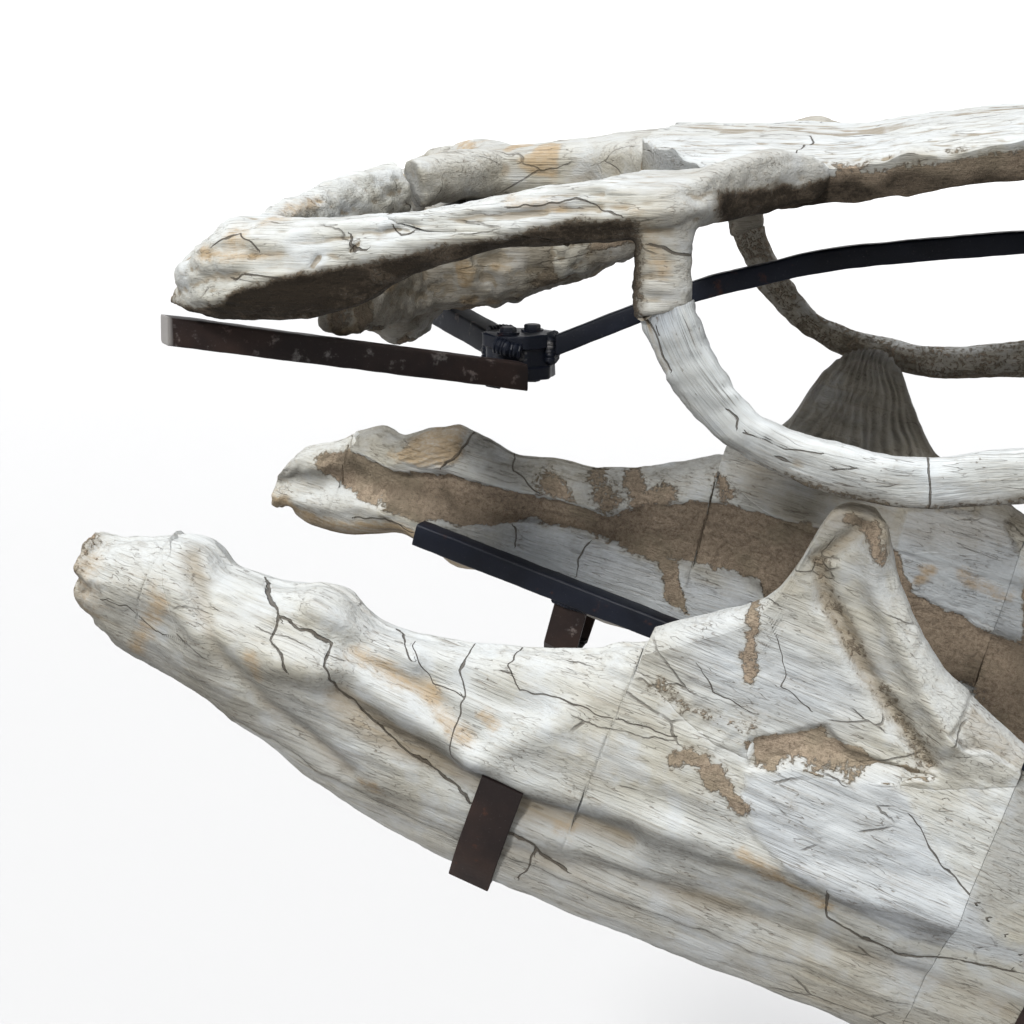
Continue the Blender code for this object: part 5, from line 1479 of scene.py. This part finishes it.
def cheek_bar(side, cell):
    word = SIDE_NAMES[side]
    xs = np.linspace(BAR_REAR, BAR_SPLIT[1] + 0.012, 100)
    rings = ovals_across(xs, bar_inner(xs), bar_outer(xs), bar_bottom(xs), bar_top(xs)) * (1, side, 1)
    rings[..., 2] = np.minimum(rings[..., 2], (bar_seam(xs) - SUTURE_GAP / 2)[:, None])
    squamosal = tube(rings, 0.006, 0)
    squamosal = remeshed(squamosal + tube(ramus_rings(side, 60, RAMUS_SPLIT + 0.01)), cell)
    bone(f"squamosal_{word}", squamosal.pushed(bar_relief(squamosal.points)), "skull", bar_marks(side))

    xs = np.linspace(BAR_SPLIT[0] - 0.012, ORBIT_REAR, 100)
    inner = np.where(xs < 0.38, bar_inner(xs), np.maximum(frontal_width(xs) + 0.002, bar_inner(xs)))
    rings = ovals_across(xs, inner, bar_outer(xs), bar_bottom(xs), bar_top(xs), power=0.65) * (1, side, 1)
    rings[..., 2] = np.maximum(rings[..., 2], (bar_seam(xs) - SEAM_OVERLAP)[:, None])
    behind_eye = tube(rings, 0, 0.020)
    behind_eye = remeshed(behind_eye + tube(jugal_rings(side, 40, 0.0, JUGAL_SPLIT + 0.008, 0.005)), cell)
    bone(f"postorbitofrontal_{word}", behind_eye.pushed(bar_relief(behind_eye.points)), "skull", bar_marks(side))


for side, cell in ((RIGHT, 0.0017), (LEFT, 0.0024)):
    cheek_bar(side, cell)

# %% [markdown]
# ## The jugals
#
# The grain of each rod follows its bend, so its grain coordinates are the length along the path,
# found from the nearest of many places on it, and the offset from it.

# %% The rods under the eyes
JUGAL_CRACKS = (
    (0.0008, ((0.382, 0.050), (0.398, 0.044), (0.420, 0.038))), (0.0006, ((0.441, -0.054), (0.447, -0.060), (0.446, -0.066))),
    (0.0006, ((0.563, -0.078), (0.566, -0.095), (0.567, -0.112))), (0.0006, ((0.378, 0.012), (0.392, -0.006), (0.404, -0.030))),
    (0.0004, ((0.452, -0.068), (0.476, -0.078), (0.500, -0.080))), (0.0004, ((0.460, -0.078), (0.485, -0.088), (0.520, -0.090))),
)


def along_jugal(points):
    """Length along the rod's path, and the offset across it, for each point."""
    path = curve(JUGAL_PATH, 240)
    run = np.concatenate([[0], np.cumsum(np.linalg.norm(np.diff(path, axis=0), axis=1))])
    flat = points * (1, 0, 1)
    nearest = ((flat[:, None] - path[None] * (1, 0, 1)) ** 2).sum(-1).argmin(1)
    away = flat - path[nearest] * (1, 0, 1)
    way = np.gradient(path, axis=0)[nearest]
    way /= np.linalg.norm(way, axis=1)[:, None]
    return np.stack([run[nearest] + (away * way).sum(1), points[:, 1], away[:, 0] * way[:, 2] - away[:, 2] * way[:, 0]], -1)


def make_jugal(side, step):
    length = 0.40
    rod = tube(jugal_rings(side, int(length / step), JUGAL_SPLIT + 0.001), 0, 0)
    grain = along_jugal(rod.points)
    ripple = 0.0009 * lumps(grain * (0.25, 1, 1), 0.006, 61, 3)
    flake = inside_outline(rod.points[:, 0], rod.points[:, 2], ((0.37, 0.02), (0.385, 0.012), (0.404, -0.03), (0.39, -0.05)), 0.001)
    shape = rod.pushed(wear(rod.points + side) + ripple - 0.0018 * flake)

    def marks(points):
        x, z = points[:, 0], points[:, 2]
        # low is the lower edge of the rod's front. It turns sandy and rocky: partly its real brown underside and partly
        # a painted shadow line.
        low = step_up(grain[:, 2], 0.006, 0.014) * step_up(x, 0.44, 0.50)
        signed, near = cracks_at(x, z, points, JUGAL_CRACKS, 0.0012)
        smooth_patch = along_path(x, z, ((0.402, 0.030), (0.400, 0.000)), 0.014)
        if side == RIGHT:
            tone = 0.03 + 0.5 * low
            rock = 0.55 * low
        else:
            tone = 0.85 - 0.5 * step_up(grain[:, 2], -0.004, -0.010) * step_up(x, 0.42, 0.46)
            rock = 0.42 + 0.2 * low
        return {
            "grain": grain, "rock": rock, "tone": tone, "pale": np.maximum(smooth_patch, 0.4) * (side == RIGHT),
            "stain": np.clip(drawn(x, z, BAR_STAINS) + 0.5 * flake, 0, 1),
            "crack": np.stack([signed, near if side == RIGHT else near * 0 + 9, np.zeros_like(x)], -1),
        }

    bone(f"jugal_{SIDE_NAMES[side]}", shape, "skull", marks)


make_jugal(RIGHT, 0.0019)
make_jugal(LEFT, 0.0026)

# %% [markdown]
# ## The middle of the rear
#
# The parietal is a table that splits into two arms behind, and the braincase hangs under it with
# a wing to each side. Each is several ovals with one skin of small cubes over them.

# %% Parietal and braincase
def rear_marks(points):
    """Cream bone above, brown and sandy where it faces down or lies deep. The brown is partly real matrix and partly
    painted shade, and the low parts are darkened by painted shade.
    """
    x, z = points[:, 0], points[:, 2]
    deep = step_up(z, 0.052, 0.034) * step_up(lumps(points, 0.035, 71, 2), -0.1, 0.5)
    flat_white = step_up(lumps(points, 0.030, 72, 2), 0.25, 0.7) * step_up(z, 0.045, 0.0)
    return {
        "rock": np.clip(deep * 0.9 - flat_white, 0, 1),
        # Painted shade on the low parts.
        "shade": 0.45 * step_up(z, 0.048, 0.030) * (1 - flat_white),
        "stain": 0.9 * step_up(lumps(points, 0.028, 73, 2), 0.35, 0.85),
        "tone": np.clip(0.30 + 0.5 * step_up(z, 0.055, 0.03) - 0.6 * flat_white, 0, 1),
    }


def rear_relief(points):
    return wear(points + 2.0) + 0.0022 * lumps(points, 0.014, 74, 3) * step_up(points[:, 2], 0.075, 0.04)


def make_parietal():
    wide = smooth((0.20, 0.034), (0.25, 0.030), (0.30, 0.032), (0.335, 0.052), (ROOF_REAR, 0.080))
    bottom = smooth((0.20, 0.050), (ROOF_REAR, 0.052))
    xs = np.linspace(0.20, ROOF_REAR - SUTURE_GAP, 60)
    table = tube(ovals_across(xs, -wide(xs), wide(xs), bottom(xs), vault_top(xs), 64, 0.55), 0.004, 0)
    for side in (RIGHT, LEFT):
        table = table + tube(ramus_rings(side, 60, 0.0, RAMUS_SPLIT - 0.01))
    table = remeshed(table, 0.0026)
    bone("parietal", table.pushed(rear_relief(table.points)), "skull", rear_marks)


WING_PATHS = {
    RIGHT: ((0.20, 0.01, 0.0), (0.170, 0.07, -0.012), (0.144, 0.118, -0.016)),
    LEFT: ((0.20, 0.01, 0.006), (0.165, 0.08, 0.0), (0.130, 0.155, -0.004)),
}


def make_braincase():
    top = smooth((0.118, -0.012), (0.15, 0.020), (0.20, 0.0497), (ROOF_REAR, 0.0515))
    bottom = smooth((0.118, -0.034), (0.165, -0.060), (0.19, -0.036), (0.25, -0.026), (0.31, -0.003), (ROOF_REAR, 0.018))
    wide = smooth((0.118, 0.014), (0.14, 0.030), (0.20, 0.048), (0.28, 0.034), (ROOF_REAR, 0.018))
    xs = np.linspace(0.118, ROOF_REAR, 70)
    box = tube(ovals_across(xs, -wide(xs), wide(xs), bottom(xs), top(xs), 48, 0.75), 0.004, 0)
    for side in (RIGHT, LEFT):
        path = curve(WING_PATHS[side], 40)
        box = box + tube(ovals_on_path(path, np.linspace(0.024, 0.019, 40), 0.013, (0.9, 0.4, 0)) * (1, side, 1), 0, 0.004)
    box = remeshed(box, 0.0026)
    bone("braincase", box.pushed(rear_relief(box.points) * 1.3), "skull", rear_marks)


make_parietal()
make_braincase()

# %% [markdown]
# ## Teeth
#
# A mosasaur's tooth is a cone that hooks backward. Its path bends by the square of the way to
# its tip, and its radius falls as (1 - share ** 2) ** 0.8, a little flattened from side to side.
# The crowns of a jaw are one piece in enamel. Their roots are sunk in the bone.

# %% Rows of crowns
LOWER_TEETH, UPPER_TEETH = 14, 12
CROWN_LENGTH, CROWN_RADIUS = 0.052, 0.0150


def crown(root, tip, hook, radius):
    """One crown from a sunk root, and its grain: the length along it and the offset across."""
    root = np.asarray(root, float)
    along = np.asarray(tip, float) - root
    share = np.concatenate([np.linspace(-0.32, 0.1, 5)[:-1], np.linspace(0.1, 0.985, 18)])
    path = root + along * share[:, None] + np.outer(np.maximum(share, 0) ** 2, hook)
    width = radius * (1 - np.maximum(share, 0) ** 2) ** 0.8 * (1 - 0.06 * (share < 0))
    shape = tube(ovals_on_path(path, width, width * 0.86, (0.0, 1.0, 0.0), 20, 1.0), 0, radius * 0.05)
    way = along / np.linalg.norm(along)
    run = (shape.points - root) @ way
    spin = np.arctan2(shape.points[:, 1] - root[1], shape.points[:, 0] - root[0] - hook[0] * (run / 0.05) ** 2)
    return shape, np.stack([run, spin * 0.01, np.zeros_like(run)], -1)


def teeth(name, crowns, where):
    shapes, grains = zip(*crowns)
    whole = shapes[0]
    for shape in shapes[1:]:
        whole = whole + shape
    piece(name, whole, where, enamel_finish, "bone_with_teeth", nodes=(), grain=np.concatenate(grains))
    print(name, len(crowns), "crowns")


for side in (RIGHT, LEFT):
    lower = []
    for number, x in enumerate(np.linspace(0.72, 1.375, LOWER_TEETH)):
        top = jaw_top(x) + tip_bend(x, side)
        size = 0.75 + 0.25 * np.sin(np.pi * (number + 1.5) / (LOWER_TEETH + 1))
        y = jaw_out(x) * side
        lower.append(crown((x, y, top - 0.004), (x + 0.002, y, top + CROWN_LENGTH * size), (-0.014 * size, 0, 0), CROWN_RADIUS * size))
    teeth(f"lower_teeth_{SIDE_NAMES[side]}", lower, f"{SIDE_NAMES[side]}_jaw")
    upper = []
    for number, x in enumerate(np.linspace(0.70, 1.275, UPPER_TEETH)):
        size = 0.70 + 0.30 * np.sin(np.pi * (number + 2) / (UPPER_TEETH + 2))
        y, foot = side * (vault_width(x) - 0.017), vault_foot(x)
        upper.append(crown((x, y, foot + 0.006), (x + 0.002, y, foot - CROWN_LENGTH * size), (-0.014 * size, 0, 0), CROWN_RADIUS * size))
    for x in (1.335, 1.388):
        y, foot = side * (vault_width(x) - 0.016), vault_foot(x)
        upper.append(crown((x, y, foot + 0.004), (x, y, foot - 0.040), (-0.010, 0, 0), 0.0115))
    teeth(f"upper_teeth_{SIDE_NAMES[side]}", upper, "skull")

# %% [markdown]
# ## The mount
#
# The skull rests on square steel bars that were sawn, bent and welded by hand. A bar is a square
# with rounded corners carried along a path, and its ends are eased by a small round-over. A weld
# is a bead of overlapping ripples that runs round a joint.

# %% Bars, blocks and welds
BAR_SIZE, STRAP_SIZE = 0.020, 0.016
BAR_ROUND = 0.0022
CLIP_WIDTH, CLIP_THICKNESS, CLIP_CLEARANCE, CLIP_TOP = 0.030, 0.004, 0.0012, -0.041


def rounded_square(half_wide, half_high, radius, arc=4):
    """Corners of a rectangle, each a quarter circle, as (across, up)."""
    turn = np.linspace(0, np.pi / 2, arc)
    points = []
    for number, (a, b) in enumerate(((1, 1), (-1, 1), (-1, -1), (1, -1))):
        angle = turn + number * np.pi / 2
        points.append(np.stack([a * (half_wide - radius) + radius * np.cos(angle), b * (half_high - radius) + radius * np.sin(angle)], -1))
    return np.concatenate(points)


def bar_rings(path, size, radius=BAR_ROUND):
    """Rings of a square bar whose sections stand upright, square to its way in plan."""
    path = np.asarray(path, float)
    along = np.gradient(path, axis=0) * (1, 1, 0)
    along /= np.linalg.norm(along, axis=1)[:, None]
    side = np.cross((0, 0, 1), along)
    section = rounded_square(size / 2, size / 2, radius)
    return path[:, None] + side[:, None] * section[None, :, :1] + np.array((0, 0, 1)) * section[None, :, 1:]


def eased(rings, by=0.0012):
    """The rings with both ends drawn in by a small round-over."""
    rings = np.asarray(rings, float)
    ends = []
    for ring, beyond in ((rings[0], rings[1]), (rings[-1], rings[-2])):
        centre = ring.mean(0)
        step = beyond.mean(0) - centre
        step *= by / np.linalg.norm(step)
        reach = np.linalg.norm(ring - centre, axis=1).max()
        ends.append([centre + (ring - centre) * (1 - by / reach), ring + step * 0.35, ring + step])
    return np.concatenate([np.array(ends[0]), rings[1:-1], np.array(ends[1][::-1])])


def steel_bar(path, size, step=0.004):
    """A bar through a few points, with enough rings for dents to show."""
    path = np.asarray(path, float)
    length = np.linalg.norm(np.diff(path, axis=0), axis=1).sum()
    shape = tube(eased(bar_rings(curve(path, max(int(length / step), 6)), size)))
    return shape.pushed(0.00030 * lumps(shape.points, 0.020, 81, 2) + 0.00012 * lumps(shape.points, 0.005, 82))


def plate(low, high, radius=0.003, arc=4):
    """A flat block between two corners, with rounded upright edges and eased faces."""
    low, high = np.asarray(low, float), np.asarray(high, float)
    half = (high - low) / 2
    section = rounded_square(half[0], half[1], radius, arc)
    levels = [low[2], high[2]]
    rings = [np.concatenate([section + (low + half)[:2], np.full((len(section), 1), z)], 1) for z in levels]
    return tube(eased(rings, 0.0010))


def weld(points, radius=0.0026, closed=True):
    """A bead along a line: a tube whose radius ripples once every 3 mm, like overlapping coins."""
    points = [*points, points[0]] if closed else points
    points = np.asarray(points, float)
    stretch = np.linalg.norm(np.diff(points, axis=0), axis=1)
    run = np.concatenate([[0], np.cumsum(stretch)])
    at = np.linspace(0, run[-1], max(int(run[-1] / 0.0008), 8))
    path = np.stack([np.interp(at, run, points[:, k]) for k in range(3)], -1)
    width = radius * (1 + 0.22 * np.abs(np.sin(np.pi * at / 0.003)) + 0.25 * lumps(path, 0.007, 83))
    return tube(ovals_on_path(path, width, width, (0.31, 0.17, 0.93), 10, 1.0))


def bolt(centre, up, radius=0.006, height=0.005):
    """A six-sided head: its radius at an angle is 1 / cos of the angle to the nearest flat."""
    up = np.asarray(up, float) / np.linalg.norm(up)
    across = np.cross(up, (0.3, 0.9, 0.2))
    across /= np.linalg.norm(across)
    other = np.cross(up, across)
    angle = np.linspace(0, 2 * np.pi, 48, endpoint=False)
    flat = np.pi / 6
    reach = radius / np.cos((angle + flat) % (2 * flat) - flat)
    rings = []
    for rise, share in ((0, 1.0), (0.80, 1.0), (0.95, 0.96), (1.0, 0.86)):
        round_head = np.minimum(reach, radius * 1.10) if rise > 0.8 else reach
        ring = across * np.cos(angle)[:, None] + other * np.sin(angle)[:, None]
        rings.append(np.asarray(centre) + ring * (round_head * share)[:, None] + up * height * rise)
    washer = [np.asarray(centre) + ring * radius * 1.55 + up * rise for rise in (-0.0002, 0.0012)]
    return tube(rings) + tube(washer)


def joined(shapes):
    whole = shapes[0]
    for shape in shapes[1:]:
        whole = whole + shape
    return whole


def steel_piece(name, shapes, where, finish=black_steel, slot="black_steel", nodes=None, bare=0.0):
    whole = joined(shapes)
    values = bare(whole.points) if callable(bare) else bare
    piece(name, whole, where, finish, slot, nodes=nodes, sharp=35, bare=values)
    print(name, len(whole.quads), "faces")


# %% The bars inside the jaws and the clips round them
JAW_BARS = {
    RIGHT: ((0.208, 0.172, -0.060), (0.900, 0.094, -0.060)),
    LEFT: ((0.147, 0.170, -0.063), (0.900, 0.093, -0.085)),
}
CLIP_PLACES = {RIGHT: (0.332, 0.720), LEFT: (0.298, 0.720)}


def jaw_bar_at(side, x):
    """The middle of a jaw bar, as way out and height, at a place along the jaw."""
    rear, front = JAW_BARS[side]
    share = (x - rear[0]) / (front[0] - rear[0])
    return rear[1] + share * (front[1] - rear[1]), rear[2] + share * (front[2] - rear[2])


def clip_rings(side, x):
    """A flat strip down the jaw's outer face, under it, and up to the bar on its inner side."""
    clear = CLIP_CLEARANCE + CLIP_THICKNESS / 2
    heights = np.linspace(CLIP_TOP, jaw_bottom(x) + 0.008, 14)
    outline = [(jaw_out(x) + jaw_half(x, z, True) + clear, z) for z in heights]
    bar_y, bar_z = jaw_bar_at(side, x)
    low = jaw_bottom(x) - clear - 0.001
    outline += [(jaw_out(x) + 0.012, low), (bar_y + 0.006, low), (bar_y, low + 0.006)]
    outline += [(bar_y, bar_z - BAR_SIZE / 2 - SUTURE_GAP)]
    path = np.array([(x, y * side, z) for y, z in outline])
    along = np.gradient(path, axis=0)
    along /= np.linalg.norm(along, axis=1)[:, None]
    flat = np.array((0, side, 0.01)) - (along @ (0, side, 0.01))[:, None] * along
    flat /= np.linalg.norm(flat, axis=1)[:, None]
    wide = np.cross(along, flat)
    section = rounded_square(CLIP_WIDTH / 2, CLIP_THICKNESS / 2, 0.0009, 3)
    rings = path[:, None] + wide[:, None] * section[None, :, :1] + flat[:, None] * section[None, :, 1:]
    places = rings[..., 0]
    rings[..., 1] += side * (jaw_out(places) - jaw_out(x))
    rings[..., 2] += jaw_bottom(places) - jaw_bottom(x) + tip_bend(places, side)
    rings[-1][:, 2] = jaw_bar_at(side, places[-1])[1] - BAR_SIZE / 2 - SUTURE_GAP
    return rings


for side in (RIGHT, LEFT):
    word = SIDE_NAMES[side]
    rear, front = (np.array(end) * (1, side, 1) for end in JAW_BARS[side])
    parts = [steel_bar([rear, front], BAR_SIZE)]
    for place in CLIP_PLACES[side]:
        y, z = jaw_bar_at(side, place)
        half = CLIP_WIDTH / 2
        foot = [(place + dx, (y + dy) * side, z - BAR_SIZE / 2) for dx, dy in ((-half, -0.004), (half, -0.004), (half, 0.004), (-half, 0.004))]
        parts.append(weld(foot, 0.0030))
    steel_piece(f"mount_jaw_bar_{word}", parts, f"{word}_jaw")
    for number, place in enumerate(CLIP_PLACES[side], 1):
        steel_piece(f"mount_clip_{word}_{number}", [tube(eased(clip_rings(side, place), 0.0006))], f"{word}_jaw", rusted_steel)

# %% The hub, its arms and the strap under the roof
HUB_CENTRE, HUB_RADIUS, HUB_HEIGHT = (0.252, 0.0, 1.034), 0.026, 0.034
ARM_PATHS = {
    RIGHT: ((0.264, -0.037, 1.0235), (0.052, -0.200, 1.073)),
    LEFT: ((0.233, 0.019, 1.038), (0.052, 0.200, 1.080)),
}
POST_X, POST_SIZE = 0.790, 0.040
STRAP_PATH = (
    (0.2785, 0.0, 1.041), (0.345, 0.0, 1.069), (0.389, 0.0, 1.087), (0.433, 0.0, 1.099), (0.476, 0.0, 1.110),
    (0.532, 0.0, 1.118), (0.617, 0.0, 1.127), (POST_X - POST_SIZE / 2 - SUTURE_GAP, 0.0, 1.142),
)


def hub_shape():
    """Two short plates with a welded core between them, and two bolts through."""
    x, y, z = HUB_CENTRE
    angle = np.radians(22.5 + 45 * np.arange(8))
    corner = HUB_RADIUS / np.cos(np.radians(22.5))
    ring = np.stack([x + corner * np.cos(angle), y + corner * np.sin(angle), np.full(8, z)], -1)
    ring = np.concatenate([ring[k] + (ring[(k + 1) % 8] - ring[k]) * np.linspace(0.08, 0.92, 6)[:, None] for k in range(8)])
    half = HUB_HEIGHT / 2
    profile = ((-1.0, 0.96), (-0.94, 1.0), (-0.45, 1.0), (-0.38, 0.90), (0.38, 0.90), (0.45, 1.0), (0.94, 1.0), (1.0, 0.96))
    rings = [(ring - HUB_CENTRE) * (share, share, 1) + HUB_CENTRE + (0, 0, half * rise) for rise, share in profile]
    core = tube(rings)
    return core.pushed(0.0006 * lumps(core.points, 0.010, 85, 2))


hub = [hub_shape()]
x, y, z = HUB_CENTRE
hub += [bolt((x + dx, dy, z + HUB_HEIGHT / 2), (0, 0, 1), 0.0055) for dx, dy in ((-0.006, -0.010), (0.008, 0.010))]
hub += [bolt((x + dx, dy, z - HUB_HEIGHT / 2), (0, 0, -1), 0.0055) for dx, dy in ((-0.006, -0.010), (0.008, 0.010))]
arm = np.array(ARM_PATHS[LEFT])
along = (arm[1] - arm[0]) * (1, 1, 0) / np.linalg.norm((arm[1] - arm[0])[:2])
across_way, up = np.cross((0, 0, 1), along) * BAR_SIZE / 2, np.array((0, 0, BAR_SIZE / 2))
middle = arm[0] + along * 0.0015
corners = [middle + a * across_way + b * up for a, b in ((1, 1), (-1, 1), (-1, -1), (1, -1))]
hub.append(weld(corners, 0.0042))
hub.append(weld([(0.2400, -0.0245, 1.0445), (0.2500, -0.0265, 1.0420), (0.2600, -0.0255, 1.0400)], 0.0050, False))
hub.append(weld([(0.2330, -0.0215, 1.0180), (0.2440, -0.0250, 1.0170)], 0.0055, False))
front = np.array((x + HUB_RADIUS, 0, z + 0.006))
corners = [(0, a * STRAP_SIZE / 2, b * STRAP_SIZE / 2) for a, b in ((1, 1), (-1, 1), (-1, -1), (1, -1))]
hub.append(weld([front + corner for corner in corners], 0.0036))
steel_piece("mount_hub", hub, "mount")

RIGHT_ARM = np.array(ARM_PATHS[RIGHT])


def sawn_end(points):
    """1 on the sawn end of the rusty arm, where the metal is bare."""
    way = (RIGHT_ARM[1] - RIGHT_ARM[0])[:2]
    way /= np.linalg.norm(way)
    return step_up((points[:, :2] - RIGHT_ARM[1, :2]) @ way, -0.0025, -0.0010)


steel_piece("mount_arm_right", [steel_bar(RIGHT_ARM, BAR_SIZE)], "mount", rusted_steel, "rusted_steel", bare=sawn_end)
steel_piece("mount_arm_left", [steel_bar(ARM_PATHS[LEFT], BAR_SIZE)], "mount")
steel_piece("mount_roof_strap", [steel_bar(curve(STRAP_PATH, 24), STRAP_SIZE)], "mount")

# %% [markdown]
# ## The stand
#
# The photograph ends before whatever holds the bars up, so a plain stand takes their load: a base
# plate, a bolted flange with a square post, a saddle under the roof, a bar to the snout, and an
# arm to each jaw bar.

# %% The stand
FLANGE_SIZE, FLANGE_THICKNESS = 0.120, 0.010
BASE_SIZE = (0.90, 0.50, 0.012)
SNOUT_BAR_HEIGHTS = (1.125, 1.068)
SADDLE_SIZE = (0.070, 0.060, 0.008)


def level_from_jaw(side, x, z):
    """A place in a jaw's frame as x and height in the level frame."""
    sine, cosine = np.sin(JAW_PITCH[side]), np.cos(JAW_PITCH[side])
    return JAW_REAR[side][0] + x * cosine + z * sine, JAW_REAR[side][1] - x * sine + z * cosine


def square_weld(centre, half, radius=0.0032):
    """A bead round an upright square post."""
    return weld([np.asarray(centre) + (a * half, b * half, 0) for a, b in ((1, 1), (-1, 1), (-1, -1), (1, -1))], radius)


def stand_piece(name, shapes):
    steel_piece(name, shapes, "mount", stand_steel, "stand_steel")


length, width, thick = BASE_SIZE
middle, half = -SKULL_REAR_X, POST_SIZE / 2
stand_piece("stand_base", [plate((middle - length / 2, -width / 2, 0), (middle + length / 2, width / 2, thick), 0.012, 8)])
foot = thick + SUTURE_GAP
reach, top = FLANGE_SIZE / 2, foot + FLANGE_THICKNESS
flange = [plate((POST_X - reach, -reach, foot), (POST_X + reach, reach, top), 0.008, 6)]
flange += [bolt((POST_X + a * 0.044, b * 0.044, top), (0, 0, 1), 0.0065) for a in (-1, 1) for b in (-1, 1)]
flange.append(square_weld((POST_X, 0, top + 0.001), half))
stand_piece("stand_flange", flange)
roof_thickness = 0.040 - 0.014 * (POST_X - 0.75) / 0.2
roof = SKULL_LEVEL + vault_top(POST_X) - roof_thickness - 0.004
saddle = roof - SADDLE_SIZE[2]
section = rounded_square(half, half, 0.004, 5)
post_heights = np.linspace(top + SUTURE_GAP, saddle - SUTURE_GAP, 120)
post = tube(eased([np.concatenate([section + (POST_X, 0), np.full((len(section), 1), h)], 1) for h in post_heights]))
stand_piece("stand_post", [post, square_weld((POST_X, 0, saddle - 0.001), half - 0.001)])
wide, deep = SADDLE_SIZE[0] / 2, SADDLE_SIZE[1] / 2
stand_piece("stand_saddle", [plate((POST_X - wide, -deep, saddle), (POST_X + wide, deep, roof), 0.006, 6)])
snout_ends = [(POST_X + half + SUTURE_GAP, 0, SNOUT_BAR_HEIGHTS[0]), (MAXILLA_FRONT - SUTURE_GAP, 0, SNOUT_BAR_HEIGHTS[1])]
stand_piece("stand_snout_bar", [steel_bar(snout_ends, STRAP_SIZE)])
for side in (RIGHT, LEFT):
    (rear_x, rear_y, _), (front_x, front_y, _) = JAW_BARS[side]
    places = np.linspace(rear_x, front_x, 200)
    levels = np.array([level_from_jaw(side, place, jaw_bar_at(side, place)[1]) for place in places])
    nearest = np.abs(levels[:, 0] - POST_X).argmin()
    x, height = places[nearest], levels[nearest, 1]
    slope = abs(front_y - rear_y) / (front_x - rear_x)
    reach = jaw_bar_at(side, x)[0] - BAR_SIZE / 2 - SUTURE_GAP - slope * BAR_SIZE / 2 - 0.0005
    arm = [(POST_X, side * (half + SUTURE_GAP), height), (POST_X, side * reach, height)]
    ring = [(POST_X + a * 0.010, side * (half + 0.0005), height + b * 0.010) for a, b in ((1, 1), (-1, 1), (-1, -1), (1, -1))]
    stand_piece(f"stand_jaw_arm_{SIDE_NAMES[side]}", [steel_bar(arm, BAR_SIZE), weld(ring, 0.0028)])
